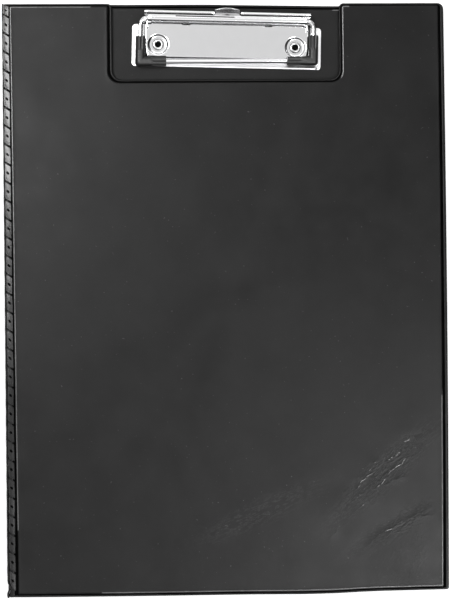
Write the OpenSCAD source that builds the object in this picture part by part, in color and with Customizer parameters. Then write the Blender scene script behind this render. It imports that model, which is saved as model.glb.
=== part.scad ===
// A4 fold-over clipboard: two boards welded into PVC film and joined by a folding spine.
// A wire clip is riveted to the back panel and shows through a notch in the cover.
// Millimetres. X runs from the spine to the opening edge, Y up to the clip, Z out of the cover.
// The origin is under the middle of the closed folder.

/* [Panels] */
// Width of the closed folder, spine included
folder_w = 233; // [225:1:245]
// Height of the folder
folder_h = 311; // [300:1:325]
// Thickness of each board
board_t = 2; // [1.6:0.1:2.4]
// Thickness of one film
film_t = 0.35; // [0.3:0.05:0.4]
// Space between the closed panels
paper_gap = 0.9; // [0.8:0.1:1.5]
// Welded rim beyond the board, on the opening side
rim_open = 3; // [2:0.1:4]
// Welded rim at the bottom
rim_bottom = 1.6; // [1.2:0.1:3]
// Welded rim at the top
rim_top = 1.8; // [1.2:0.1:3]
// Distance that the back panel's top edge lies below the cover's
back_drop = 0; // [0:0.1:1]
// Radius of the upper corner on the opening side
corner_big = 3; // [2:0.5:4]
// Radius of the other corners
corner_small = 1.2; // [1:0.1:2]
// Height of the inside pocket at the spine
pocket_h = 150; // [100:5:200]
// How much lower the pocket is at the opening edge
pocket_fall = 60; // [20:5:80]
// Thickness of the pocket film
pocket_t = 0.3; // [0.2:0.05:0.4]

/* [Notch in the cover] */
// Width of the notch
notch_w = 119.6; // [114:0.2:126]
// Depth of the notch
notch_d = 40; // [38:0.5:44]
// Distance of the notch's middle from the folder's middle
notch_x = 0.9; // [-2:0.1:3]
// Radius of the notch's inner corners
notch_corner = 5; // [4:0.5:8]
// Radius of the two horn corners beside the notch
horn_corner = 2.5; // [2:0.5:4]
// Welded rim around the notch
rim_notch = 2.4; // [2:0.1:3]

/* [Spine] */
// Radius of the bead along each fold line
bead_r = 0.5; // [0.45:0.05:0.55]
// Welded rim between the fold line and the board
rim_spine = 5; // [4:0.1:7]
// Spacing of the weld dots along the spine's rims
dot_pitch = 9.7; // [8:0.1:12]
// Diameter of a weld dot
dot_d = 1.3; // [1:0.1:1.6]
// Depth of a weld dot
dot_depth = 0.15; // [0.1:0.01:0.2]

/* [Clip base] */
// Distance of the clip's middle from the folder's middle
clip_x = 1.3; // [0:0.1:3]
// Distance of the clip's middle below the top edge
clip_drop = 22.7; // [22.5:0.1:24]
// Turn of the riveted clip out of square, clockwise
clip_skew = 1.5; // [0:0.1:2]
// Length of the base plate
base_l = 100; // [98:0.5:104]
// Width of the base plate
base_w = 22.4; // [22:0.1:24]
// Thickness of the base plate's sheet
base_t = 0.8; // [0.7:0.05:0.8]
// Corner cut of the base plate
base_corner = 2; // [1:0.5:3]
// Length of the raised platform
platform_l = 88; // [86:0.5:88]
// Front edge of the platform, forward of the clip's middle
platform_front = 6.7; // [6:0.1:7]
// Height that the platform is pressed up by
platform_rise = 0.9; // [0.9:0.05:1]
// Distance between the two rivets
rivet_spacing = 72.4; // [68:0.2:73]
// Rivet line behind the clip's middle
rivet_v = 0.5; // [0:0.5:2]
// Bore of the tubular rivets
rivet_bore = 3; // [2.6:0.1:3.2]

/* [Lever and bail] */
// Distance over the two ears that hold the hinge pin
ears_l = 85; // [84:0.5:85]
// Length of the lever's tab
lever_l = 87; // [86:0.2:88]
// Thickness of the lever's sheet
lever_t = 0.6; // [0.5:0.05:0.6]
// Diameter of the hinge pin
pin_d = 2; // [1.8:0.1:2]
// Diameter of the bail's wire
wire_d = 2.5; // [2.3:0.1:2.5]
// Distance of each side leg from the clip's middle
leg_u = 45.5; // [45.3:0.1:45.6]
// Front leg, forward of the clip's middle
front_v = 7.9; // [7.8:0.05:8]
// Slant of the front leg, which is a little nearer the roll on the right
bail_skew = 1.5; // [0:0.1:1.5]
// Diameter of the rubber grips
grip_d = 5.3; // [4.6:0.1:5.3]
// Reach of each grip along the side leg, from the front leg
grip_side = 13.2; // [10:0.2:14]
// Reach of each grip along the front leg, from the side leg
grip_front = 13.7; // [10:0.2:16]

/* [Hanging hook] */
// Width of the hook's stem
hook_w = 13.2; // [12:0.1:13.6]
// Thickness of the hook
hook_t = 0.6; // [0.5:0.05:0.6]
// Diameter of the nail hole
nail_hole_d = 6; // [4:0.5:7]
// How far the hook slides out
hook_travel = 12; // [8:0.5:12]

/* [Hidden] */
$fn = 48;

pvc = "#2b2b2d";
lining = "#333336";
greyboard = "#8f877a";
chrome = "#d4d6d8";
zinc = "#a9abad";
rubber = "#1b1b1d";

// Running clearance between a pin and its hole, or a bead and its seat
hinge_gap = 0.05;
// Overlap that fuses two shapes of one piece
fuse = 0.2;
// How far the ball that fuses two lengths of wire stands out of them
ball_rise = 0.004;

// The panels' heights: both are symmetrical about their middle plane, where the films are welded
panel_t = board_t + 2 * film_t;
back_mid = panel_t / 2;
cover_mid = back_mid + panel_t + paper_gap;
top_y = folder_h / 2;
open_x = folder_w / 2;

// The spine stands upright between two creases, one at each panel's middle plane
crease_x = -folder_w / 2 + bead_r;

// Levels of an outline: the welded rim, the film's shoulder, and the board inside it
RIM = 0;
SHOULDER = 1;
BOARD = 2;

// The clip's heights, in its own frame: u along the clip, v towards the top edge
base_z = panel_t;
plate_top = base_z + base_t;
platform_top = plate_top + platform_rise;
platform_under = platform_top - base_t;
slope_run = 0.9;
platform_taper = 1.2;
rivet_head_r = 2.75;
rivet_head_h = 0.8;
rivet_wall = 0.5;
tail_r = 2.6;
tail_t = 0.3;
washer_r = 4.5;
washer_t = 0.6;
dish_top_r = 5.4;
dish_floor_r = 3.6;
ear_u = ears_l / 2 - base_t / 2;
ear_r = 1.6;
ear_v = 9.5;
pivot_v = 12.9;
pivot_z = base_z + 1.9;
pin_head_rise = 0.1;

// The lever's roll holds the ends of the bail
roll_v = pivot_v + 0.9;
roll_z = pivot_z + 3.45;
roll_bore_r = wire_d / 2 + hinge_gap;
roll_r = roll_bore_r + lever_t;
tab_angle = 43;
tab_reach = 4.1;
hem_r = 0.75;
cheek_t = 0.8;
cheek_u = ear_u - base_t / 2 - 0.3 - cheek_t / 2;
cheek_r = 1.5;

// The bail lies in one plane, which falls from the roll to the front leg
front_z = plate_top + 3.6;
bail_reach = norm([roll_v + front_v, roll_z - front_z]);
bail_tilt = atan((roll_z - front_z) / (roll_v + front_v));
bend_rear_r = 4;
bend_front_r = 2;
bail_end_u = 30;

// The return springs sit on the hinge pin
spring_wire_r = 0.25;
spring_r = pin_d / 2 + spring_wire_r + hinge_gap;
spring_turns = 5;
spring_steps = 16;
spring_sides = 8;
spring_pitch = 0.6;
spring_u = 20;
spring_rear_angle = 61;
spring_rear_l = 5.2;
spring_front_l = 5;

// The hook slides between the film and the platform, and its bar stops against two guides
hook_z = base_z + 0.15;
hook_tip_v = 20.6;
hook_tip_r = 20;
hook_bend_v = 18.2;
hook_lip_angle = 45;
guide_v = 9.9;
guide_gap = 0.2;
guide_l = 1.2;
bar_l = 1.6;
bar_w = 18;
bar_v = guide_v - 0.1 - hook_travel - bar_l;
nail_hole_v = 14.3;

/* ---- outlines ---- */

// What rounding takes off an outward corner whose arc is centred on the origin
module corner_bite(r) {
    difference() {
        square(2 * r);
        circle(r);
    }
}

// Rectangle with its own radius at each corner, counted anticlockwise from the lower left
module rounded_rectangle(low, high, radii) {
    difference() {
        translate(low) square(high - low);
        for (k = [0:3])
            if (radii[k] > 0)
                translate([
                    k == 0 || k == 3 ? low.x + radii[k] : high.x - radii[k],
                    k < 2 ? low.y + radii[k] : high.y - radii[k]
                ]) rotate(180 + 90 * k) corner_bite(radii[k]);
    }
}

function rim(level, width) = level == RIM ? 0 : width + (level - SHOULDER) * film_t;
function inner_r(level, r) = max(r - rim(level, 1), 0.5);

module panel_outline(level, drop) {
    rounded_rectangle(
        [crease_x + rim(level, rim_spine), rim(level, rim_bottom) - top_y],
        [open_x - rim(level, rim_open), top_y - drop - rim(level, rim_top)],
        [inner_r(level, corner_small), inner_r(level, corner_small),
            inner_r(level, corner_big), inner_r(level, corner_small)]
    );
}

module cover_outline(level) {
    grow = rim(level, rim_notch);
    left = notch_x - notch_w / 2 - grow;
    right = notch_x + notch_w / 2 + grow;
    floor_y = top_y - notch_d - grow;
    horn_r = inner_r(level, horn_corner);
    horn_y = top_y - rim(level, rim_top) - horn_r;
    difference() {
        panel_outline(level, 0);
        rounded_rectangle([left, floor_y], [right, top_y + 1], [notch_corner, notch_corner, 0, 0]);
        translate([left - horn_r, horn_y]) corner_bite(horn_r);
        translate([right + horn_r, horn_y]) rotate(90) corner_bite(horn_r);
    }
}

module outline(cover, level) {
    if (cover) cover_outline(level);
    else panel_outline(level, back_drop);
}

/* ---- panels ---- */

module board(cover, mid) {
    translate([0, 0, mid - board_t / 2]) linear_extrude(board_t) outline(cover, BOARD);
}

// One half of a panel's film: a shallow tray over the board, with its rim at the middle plane.
// side is 1 for the upper half and -1 for the lower one.
module skin(cover, mid, side) {
    translate([0, 0, mid]) mirror([0, 0, side > 0 ? 1 : 0]) difference() {
        union() {
            translate([0, 0, -panel_t / 2]) linear_extrude(panel_t / 2) outline(cover, SHOULDER);
            translate([0, 0, -film_t]) linear_extrude(film_t) outline(cover, RIM);
        }
        translate([0, 0, -board_t / 2]) linear_extrude(board_t) outline(cover, BOARD);
        fold_line() cylinder(r = bead_r + hinge_gap, h = folder_h + 2, center = true);
    }
}

// Row of shallow round dots along the middle of the spine's rim, sunk from the height z
module weld_dots(z) {
    count = floor((folder_h - dot_pitch) / dot_pitch);
    for (k = [0:count])
        translate([crease_x + (bead_r + rim_spine) / 2, (k - count / 2) * dot_pitch, z])
            cylinder(d = dot_d, h = 2 * dot_depth, center = true);
}

// Lays a cylinder along the crease, at the height of the drawing's origin
module fold_line() {
    translate([crease_x, 0, 0]) rotate([90, 0, 0]) children();
}

module back_board() {
    color(greyboard) difference() {
        board(false, back_mid);
        at_rivets() cylinder(r = shank_r(), h = 3 * panel_t, center = true);
        at_rivets() cylinder(r = washer_r, h = 2 * washer_t, center = true);
    }
}

module back_outer_skin() {
    color(pvc) difference() {
        skin(false, back_mid, -1);
        weld_dots(back_mid - film_t);
        at_rivets() cylinder(r = washer_r, h = 2 * washer_t, center = true);
    }
}

module back_inner_skin() {
    color(lining) difference() {
        skin(false, back_mid, 1);
        at_rivets() cylinder(r = shank_r(), h = 3 * panel_t, center = true);
    }
}

module cover_board() {
    color(greyboard) board(true, cover_mid);
}

module cover_outer_skin() {
    color(pvc) difference() {
        skin(true, cover_mid, 1);
        weld_dots(cover_mid + film_t);
    }
}

module cover_inner_skin() {
    color(lining) skin(true, cover_mid, -1);
}

// Flat pocket with a slanting mouth, welded to the inside of the cover
module cover_pocket() {
    left = crease_x + rim(BOARD, rim_spine);
    right = open_x - rim(BOARD, rim_open);
    low = rim(BOARD, rim_bottom) - top_y;
    color(pvc) translate([0, 0, cover_mid - panel_t / 2 - pocket_t]) linear_extrude(pocket_t)
        polygon([[left, low], [right, low], [right, low + pocket_h - pocket_fall],
            [left, low + pocket_h]]);
}

/* ---- spine ---- */

module spine_sheet(x, low, high) {
    translate([crease_x + x, -top_y, low]) cube([film_t, folder_h, high - low]);
}

// The outer film has a bead at each crease, which turns in the seat of that panel's skins
module spine_outer_film() {
    color(pvc) {
        spine_sheet(-film_t, back_mid, cover_mid);
        for (mid = [back_mid, cover_mid]) translate([0, 0, mid])
            fold_line() cylinder(r = bead_r, h = folder_h, center = true);
    }
}

module spine_inner_film() {
    clear = bead_r + 2 * hinge_gap;
    color(lining) spine_sheet(0, back_mid + clear, cover_mid - clear);
}

/* ---- clip ---- */

module clip_place() {
    translate([clip_x, top_y - clip_drop, 0]) rotate(-clip_skew) children();
}

module at_rivets() {
    clip_place() for (side = [-1, 1])
        translate([side * rivet_spacing / 2, rivet_v, 0]) children();
}

// Extrudes a profile drawn in v and z along the clip
module along_clip(length) {
    rotate([90, 0, 90]) linear_extrude(length, center = true) children();
}

function shank_r() = rivet_bore / 2 + rivet_wall;

module base_outline() {
    half_l = base_l / 2;
    half_w = base_w / 2;
    polygon([for (q = [[1, 1, 0], [-1, 1, 1], [-1, -1, 0], [1, -1, 1]], k = [0, 1])
        let (cut_u = (k == 0) == (q[2] == 0) ? 0 : base_corner)
        [q.x * (half_l - cut_u), q.y * (half_w - base_corner + cut_u)]]);
}

// The platform is closed in front and at its ends, open at the rear and narrower in front
module platform(half_l, front, rear, z_low, z_top) {
    front_l = half_l - platform_taper;
    intersection() {
        along_clip(base_l) polygon([[-front, z_low], [rear, z_low], [rear, z_top],
            [slope_run - front, z_top]]);
        rotate([90, 0, 0]) linear_extrude(2 * base_w, center = true) polygon([
            [-half_l, z_low], [half_l, z_low],
            [half_l - slope_run, z_top], [slope_run - half_l, z_top]]);
        translate([0, 0, z_low]) linear_extrude(z_top - z_low) polygon([
            [-front_l, -front], [front_l, -front], [half_l, rivet_v], [half_l, rear],
            [-half_l, rear], [-half_l, rivet_v]]);
    }
}

module dish(r_floor, r_top, z_floor, z_top) {
    translate([0, 0, z_floor]) cylinder(r1 = r_floor, r2 = r_top, h = z_top - z_floor);
}

module ear_profile() {
    translate([pivot_v, pivot_z]) circle(ear_r);
    translate([ear_v, base_z]) square([pivot_v - ear_v, pivot_z + ear_r - base_z]);
}

module base_sheet() {
    difference() {
        union() {
            translate([0, 0, base_z]) linear_extrude(base_t) base_outline();
            platform(platform_l / 2, platform_front, base_w / 2, base_z, platform_top);
        }
        platform(platform_l / 2 - base_t, platform_front - base_t, base_w, base_z - platform_rise,
            platform_under);
    }
}

module clip_base_plate() {
    color(chrome) clip_place() difference() {
        union() {
            base_sheet();
            for (side = [-1, 1]) {
                translate([side * rivet_spacing / 2, rivet_v, 0])
                    dish(dish_floor_r + fuse, dish_top_r + fuse, base_z, platform_under + fuse);
                translate([side * ear_u, 0, 0]) along_clip(base_t) ear_profile();
                translate([side * (hook_w / 2 + guide_gap + base_t / 2), 0, 0]) along_clip(base_t)
                    translate([guide_v, base_z + hinge_gap])
                    square([guide_l, platform_under + fuse - base_z - hinge_gap]);
            }
            front_lip();
        }
        for (side = [-1, 1]) translate([side * rivet_spacing / 2, rivet_v, 0]) {
            dish(dish_floor_r, dish_top_r, plate_top, platform_top);
            translate([0, 0, plate_top + platform_rise]) cylinder(r = dish_top_r, h = 1);
            cylinder(r = shank_r(), h = 3 * panel_t, center = true);
        }
        translate([0, pivot_v, pivot_z]) rotate([0, 90, 0])
            cylinder(d = pin_d, h = base_l, center = true);
    }
}

// Round ridge along the plate's front edge
module front_lip() {
    ridge_r = 0.7;
    translate([0, ridge_r - base_w / 2, plate_top - 0.1]) rotate([0, 90, 0])
        cylinder(r = ridge_r, h = base_l - 2 * base_corner - 2, center = true);
}

module rivet_profile() {
    wall_r = rivet_bore / 2;
    round_r = rivet_head_h / 2;
    translate([wall_r, 0]) square([rivet_wall, plate_top]);
    translate([wall_r, 0]) square([tail_r - wall_r, tail_t]);
    translate([wall_r, plate_top]) square([rivet_head_r - round_r - wall_r, rivet_head_h]);
    translate([wall_r, plate_top]) square([rivet_head_r - wall_r, round_r]);
    translate([rivet_head_r - round_r, plate_top + round_r]) circle(round_r);
}

module rivets() {
    color(zinc) at_rivets() rotate_extrude() rivet_profile();
}

// Each washer is let into the board, and its step holds the rolled tail of the rivet
module rivet_washers() {
    color(zinc) at_rivets() difference() {
        cylinder(r = washer_r, h = washer_t);
        cylinder(r = tail_r, h = 2 * tail_t, center = true);
        cylinder(r = shank_r(), h = 3 * washer_t, center = true);
    }
}

module hinge_pin() {
    head_t = 0.5;
    color(zinc) clip_place() translate([0, pivot_v, pivot_z]) rotate([0, 90, 0]) {
        cylinder(d = pin_d, h = 2 * ear_u + base_t, center = true);
        for (side = [-1, 1])
            translate([0, 0, side * (ear_u + base_t / 2 + head_t / 2)])
                cylinder(r = pin_d / 2 + pin_head_rise, h = head_t, center = true);
    }
}

/* ---- springs ---- */

function unit(v) = v / norm(v);

// The wire's middle line: a front leg, the coil rising along z, and a rear leg
function spring_path() =
    let (steps = spring_turns * spring_steps, turn = 360 * spring_turns + spring_rear_angle)
    [
        [-spring_front_l, -spring_r, 0],
        for (k = [0:steps])
            let (a = turn * k / steps)
            [spring_r * sin(a), -spring_r * cos(a), spring_pitch * a / 360],
        [spring_r * sin(turn) + spring_rear_l * cos(turn),
            spring_rear_l * sin(turn) - spring_r * cos(turn), spring_pitch * turn / 360]
    ];

// Ring of points around the path's point i, at right angles to the wire
function wire_ring(path, i) =
    let (
        last = len(path) - 1,
        along = unit(path[min(i + 1, last)] - path[max(i - 1, 0)]),
        side = unit(cross(along, [0, 0, 1])),
        up = cross(side, along)
    )
    [for (k = [0:spring_sides - 1])
        path[i] + spring_wire_r * (cos(360 * k / spring_sides) * side
            + sin(360 * k / spring_sides) * up)];

module torsion_spring() {
    path = spring_path();
    rings = len(path);
    m = spring_sides;
    rotate([90, 0, 90]) polyhedron(
        points = [for (i = [0:rings - 1]) each wire_ring(path, i)],
        faces = [
            [for (k = [0:m - 1]) k],
            for (i = [0:rings - 2], k = [0:m - 1])
                [i * m + k, (i + 1) * m + k, (i + 1) * m + (k + 1) % m, i * m + (k + 1) % m],
            [for (k = [0:m - 1]) (rings - 1) * m + m - 1 - k]
        ]
    );
}

module torsion_spring_right() {
    color(zinc) clip_place() translate([spring_u, pivot_v, pivot_z]) torsion_spring();
}

module torsion_spring_left() {
    color(zinc) clip_place() mirror([1, 0, 0]) translate([spring_u, pivot_v, pivot_z])
        torsion_spring();
}

/* ---- lever and bail ---- */

module lever_arm_profile() {
    arm = [roll_v - pivot_v, roll_z - pivot_z];
    translate([pivot_v, pivot_z]) {
        circle(cheek_r);
        rotate(atan2(arm.y, arm.x)) translate([0, -cheek_r]) square([norm(arm), 2 * cheek_r]);
    }
    translate([roll_v, roll_z]) circle(roll_r);
}

module lever_tab_profile() {
    translate([roll_v, roll_z]) rotate(tab_angle) {
        translate([roll_bore_r + fuse, -lever_t / 2])
            square([tab_reach - roll_bore_r - fuse, lever_t]);
        translate([tab_reach, 0]) circle(hem_r);
    }
}

module lever_plate() {
    roll_l = 2 * (leg_u - bend_rear_r);
    recess_v = roll_v + 2.3;
    color(chrome) clip_place() difference() {
        union() {
            along_clip(roll_l) translate([roll_v, roll_z]) circle(roll_r);
            along_clip(lever_l) lever_tab_profile();
            for (side = [-1, 1])
                translate([side * cheek_u, 0, 0]) along_clip(cheek_t) lever_arm_profile();
        }
        translate([0, roll_v, roll_z]) rotate([0, 90, 0])
            cylinder(r = roll_bore_r, h = base_l, center = true);
        translate([0, pivot_v, pivot_z]) rotate([0, 90, 0])
            cylinder(r = pin_d / 2 + hinge_gap, h = base_l, center = true);
        translate([-hook_w / 2 - 0.4, recess_v, roll_z])
            cube([hook_w + 0.8, 4, 2 * tab_reach]);
    }
}

module elbow(bend_r, r, turn) {
    rotate_extrude(angle = turn) translate([bend_r, 0]) circle(r);
}

// The bail's plane, with the roll's axis along x through the origin and the middle of the front
// leg at y = -bail_reach
module bail_place() {
    clip_place() translate([0, roll_v, roll_z]) rotate([bail_tilt, 0, 0]) children();
}

// Height of the front leg's middle line in the bail's plane, at u
function front_line(u) = u * tan(bail_skew) - bail_reach;

// Centre of the front bend on one side, which is -1 or 1
function bend_centre(side) =
    let (u = side * (leg_u - bend_front_r))
    [u, front_line(u) + bend_front_r / cos(bail_skew)];

module side_leg(side, r) {
    far = bend_centre(side).y;
    mirror([side < 0 ? 1 : 0, 0, 0]) {
        translate([bail_end_u, 0, 0]) rotate([0, 90, 0])
            cylinder(r = r, h = leg_u - bend_rear_r - bail_end_u);
        translate([leg_u - bend_rear_r, -bend_rear_r, 0]) elbow(bend_rear_r, r, 90);
        translate([leg_u, -bend_rear_r, 0]) rotate([90, 0, 0])
            cylinder(r = r, h = -far - bend_rear_r);
        translate([leg_u, far, 0]) sphere(r = r + ball_rise);
        translate([leg_u - bend_front_r, far, 0]) rotate(side * bail_skew - 90) {
            elbow(bend_front_r, r, 90 - side * bail_skew);
            translate([bend_front_r, 0, 0]) sphere(r = r + ball_rise);
        }
    }
}

module bail_wire(r) {
    left = bend_centre(-1);
    for (side = [-1, 1]) side_leg(side, r);
    translate([left.x, left.y, 0]) rotate(bail_skew) translate([0, -bend_front_r, 0])
        rotate([0, 90, 0]) cylinder(r = r, h = norm(bend_centre(1) - left));
}

module wire_bail() {
    color(chrome) bail_place() bail_wire(wire_d / 2);
}

// L-shaped sleeve around a front corner of the bail
module corner_grip(side) {
    difference() {
        translate([side * leg_u, front_line(side * leg_u), 0]) {
            sphere(d = grip_d + 2 * ball_rise);
            rotate([-90, 0, 0]) cylinder(d = grip_d, h = grip_side);
            rotate(bail_skew) rotate([0, -90 * side, 0]) cylinder(d = grip_d, h = grip_front);
        }
        bail_wire(wire_d / 2);
    }
}

module corner_grip_right() {
    color(rubber) bail_place() corner_grip(1);
}

module corner_grip_left() {
    color(rubber) bail_place() corner_grip(-1);
}

/* ---- hanging hook ---- */

module hook_tip(r, h) {
    translate([0, hook_tip_v - hook_tip_r, hook_z]) cylinder(r = r, h = h, $fn = 96);
}

module hanging_hook() {
    color(chrome) clip_place() difference() {
        union() {
            translate([-hook_w / 2, bar_v, hook_z]) cube([hook_w, hook_bend_v - bar_v, hook_t]);
            translate([-bar_w / 2, bar_v, hook_z]) cube([bar_w, bar_l, hook_t]);
            hook_lip();
        }
        translate([0, nail_hole_v, hook_z]) cylinder(d = nail_hole_d, h = 4, center = true);
    }
}

// The hook's outer end slopes up from the bend and is cut round
module hook_lip() {
    slope_l = 2 * (hook_tip_v - hook_bend_v);
    intersection() {
        hook_tip(hook_tip_r, slope_l);
        along_clip(hook_w) translate([hook_bend_v, hook_z]) {
            rotate(hook_lip_angle) translate([-hook_t * tan(hook_lip_angle / 2), 0])
                square([slope_l, hook_t]);
            translate([-hook_t, 0]) square(hook_t);
        }
    }
}

back_board();
back_outer_skin();
back_inner_skin();
clip_base_plate();
rivets();
rivet_washers();
hinge_pin();
torsion_spring_left();
torsion_spring_right();
lever_plate();
wire_bail();
corner_grip_left();
corner_grip_right();
hanging_hook();
spine_outer_film();
spine_inner_film();
cover_board();
cover_outer_skin();
cover_inner_skin();
cover_pocket();
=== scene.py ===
# %% [markdown]
# # A fold-over clipboard
# The object is a closed A4 folder: two stiff boards welded into black PVC film, joined by a
# folding spine, with a chromed wire clip riveted to the back panel. This lesson dresses the
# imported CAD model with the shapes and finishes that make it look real. Every piece is drawn in
# millimetres in the CAD model's own frame, and turned into metres when its mesh is made.

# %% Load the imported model
import math
import bpy
import numpy as np
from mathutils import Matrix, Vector
from mathutils.geometry import delaunay_2d_cdt


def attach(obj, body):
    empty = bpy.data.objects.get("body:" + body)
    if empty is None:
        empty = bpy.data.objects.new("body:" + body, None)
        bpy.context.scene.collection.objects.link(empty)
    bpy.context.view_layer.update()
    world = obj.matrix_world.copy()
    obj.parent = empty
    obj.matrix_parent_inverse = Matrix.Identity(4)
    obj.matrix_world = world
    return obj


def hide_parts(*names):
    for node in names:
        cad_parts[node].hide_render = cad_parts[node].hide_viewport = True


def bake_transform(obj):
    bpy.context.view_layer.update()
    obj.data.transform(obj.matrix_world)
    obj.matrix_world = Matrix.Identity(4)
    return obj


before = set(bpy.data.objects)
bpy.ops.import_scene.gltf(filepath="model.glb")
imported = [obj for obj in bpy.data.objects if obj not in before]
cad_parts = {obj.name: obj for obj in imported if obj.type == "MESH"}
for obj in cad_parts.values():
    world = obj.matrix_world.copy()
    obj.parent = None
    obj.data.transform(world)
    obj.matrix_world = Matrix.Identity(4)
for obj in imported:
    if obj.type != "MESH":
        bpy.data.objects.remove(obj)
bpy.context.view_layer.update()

# %% [markdown]
# The camera looks straight down on the closed folder from one metre, a little off its middle.
# A long lens keeps the folder's sides almost parallel. It is set first, because every later
# choice of detail depends on what it sees.

# %% Camera
def in_scene(name, data):
    """Object with the given data, linked into the scene."""
    made = bpy.data.objects.new(name, data)
    bpy.context.scene.collection.objects.link(made)
    return made


camera = in_scene("camera", bpy.data.cameras.new("camera"))
bpy.context.scene.camera = camera
camera.location = (-0.04712, -0.00258, 1.0)
camera.rotation_euler = [math.radians(angle) for angle in (0.1385, -2.6694, -0.5658)]
camera.data.lens = 113.5
camera.data.sensor_width = 36
camera.data.clip_start, camera.data.clip_end = 0.01, 20
print("camera at", tuple(camera.location), "lens", camera.data.lens)

# %% [markdown]
# The light and all finishes are node trees. One helper adds a node and sets its inputs in one
# go, so a tree reads like a recipe. The other puts a number through a colour ramp, which is
# how most of the variation in colour and gloss is made.

# %% Helpers for node trees
def builder(tree):
    """Empties a node tree, and returns the function that adds nodes to it."""
    tree.nodes.clear()

    def add(kind, inputs=(), **settings):
        """New node. An input is a value, a socket, or a node, which gives its first output."""
        node = tree.nodes.new(kind)
        for name, value in settings.items():
            setattr(node, name, value)
        for socket, value in inputs.items() if isinstance(inputs, dict) else enumerate(inputs):
            if isinstance(value, bpy.types.Node):
                value = value.outputs[0]
            if isinstance(value, bpy.types.NodeSocket):
                tree.links.new(value, node.inputs[socket])
            else:
                node.inputs[socket].default_value = value
        return node

    return add


def ramp(add, value, stops):
    """Colour ramp; stops are (position, grey or colour)."""
    node = add("ShaderNodeValToRGB", [value])
    elements = node.color_ramp.elements
    while len(elements) < len(stops):
        elements.new(0.5)
    for element, (at, tone) in zip(elements, stops):
        element.position = at
        element.color = (*tone, 1) if isinstance(tone, tuple) else (tone, tone, tone, 1)
    return node


def new_material(name):
    """Material, the function that adds its nodes, and its Object coordinates."""
    material = bpy.data.materials.new(name)
    material.use_nodes = True
    add = builder(material.node_tree)
    return material, add, add("ShaderNodeTexCoord").outputs["Object"]


print("helpers for node trees")

# %% [markdown]
# A product like this is shown on a white sweep under large soft lamps. The floor is a pale
# matte sheet. For camera and glossy rays it adds a little light of its own, which grows with
# the distance, so that it shows white while the folder's shadow still falls on it. Under the
# folder it is painted dark, as painted shade, so nothing shines up through the rivets. The lamps
# are wide area lights, because satin PVC and chrome show the shape of whatever lights them.

# %% Floor
floor_reach = 3.0
# Half sizes of the patch of painted shade under the folder.
dark_half_x, dark_half_y = 0.112, 0.150


def floor_paper():
    """Pale paper with a glow for camera and glossy rays, and painted shade: near black under the
    folder.
    """
    material, add, where = new_material("floor_paper")
    rays = add("ShaderNodeLightPath").outputs
    seen = add("ShaderNodeMath", [rays["Is Camera Ray"], rays["Is Glossy Ray"]],
               operation="MAXIMUM")
    away = add("ShaderNodeVectorMath", [where], operation="LENGTH").outputs["Value"]
    strength = add("ShaderNodeMapRange", {
        "Value": away, "From Min": 0.35, "From Max": 1.3, "To Min": 0.42, "To Max": 0.70})
    middle = add("ShaderNodeVectorMath", [where], operation="ABSOLUTE")
    split = add("ShaderNodeSeparateXYZ", [middle]).outputs
    beyond = [add("ShaderNodeMath", [split[axis], half], operation="GREATER_THAN")
              for axis, half in (("X", dark_half_x), ("Y", dark_half_y))]
    open_floor = add("ShaderNodeMath", beyond, operation="MAXIMUM")
    lit = add("ShaderNodeMath", [open_floor, seen], operation="MULTIPLY")
    # Painted shade: the paper is near black in the patch under the folder.
    paper = add("ShaderNodeMix", {
        "Factor": open_floor, "A": (0.02, 0.02, 0.02, 1), "B": (0.86, 0.86, 0.86, 1),
    }, data_type="RGBA").outputs["Result"]
    glow = add("ShaderNodeMixShader", [
        lit, add("ShaderNodeEmission", {"Strength": 0}),
        add("ShaderNodeEmission", {"Strength": strength})])
    both = add("ShaderNodeAddShader", [add("ShaderNodeBsdfDiffuse", {"Color": paper}), glow])
    add("ShaderNodeOutputMaterial", {"Surface": both})
    return material


floor_mesh = bpy.data.meshes.new("floor")
floor_mesh.from_pydata(
    [(x * floor_reach, y * floor_reach, 0) for x, y in ((-1, -1), (1, -1), (1, 1), (-1, 1))],
    [], [(0, 1, 2, 3)])
floor = in_scene("floor", floor_mesh)
floor.data.materials.append(floor_paper())
print("floor", floor_reach * 2, "m wide")

# %% Lamps and sky
def soft_lamp(name, place, target, width, height, watts):
    """Area light at place, facing target."""
    light = bpy.data.lights.new(name, "AREA")
    light.shape = "RECTANGLE"
    light.size, light.size_y = width, height
    light.energy = watts
    lamp = in_scene(name, light)
    lamp.location = place
    lamp.rotation_mode = "QUATERNION"
    lamp.rotation_quaternion = (Vector(target) - Vector(place)).to_track_quat("-Z", "Y")


soft_lamp("lamp_upper_left", (-0.38, 0.25, 1.05), (-0.08, 0.06, 0), 0.34, 0.42, 7.0)
soft_lamp("lamp_lower_right", (0.36, -0.38, 1.02), (0.07, -0.09, 0), 0.38, 0.38, 6.6)
soft_lamp("lamp_top", (0.05, 0.95, 0.85), (0, 0.05, 0), 1.1, 0.30, 1.6)


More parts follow.
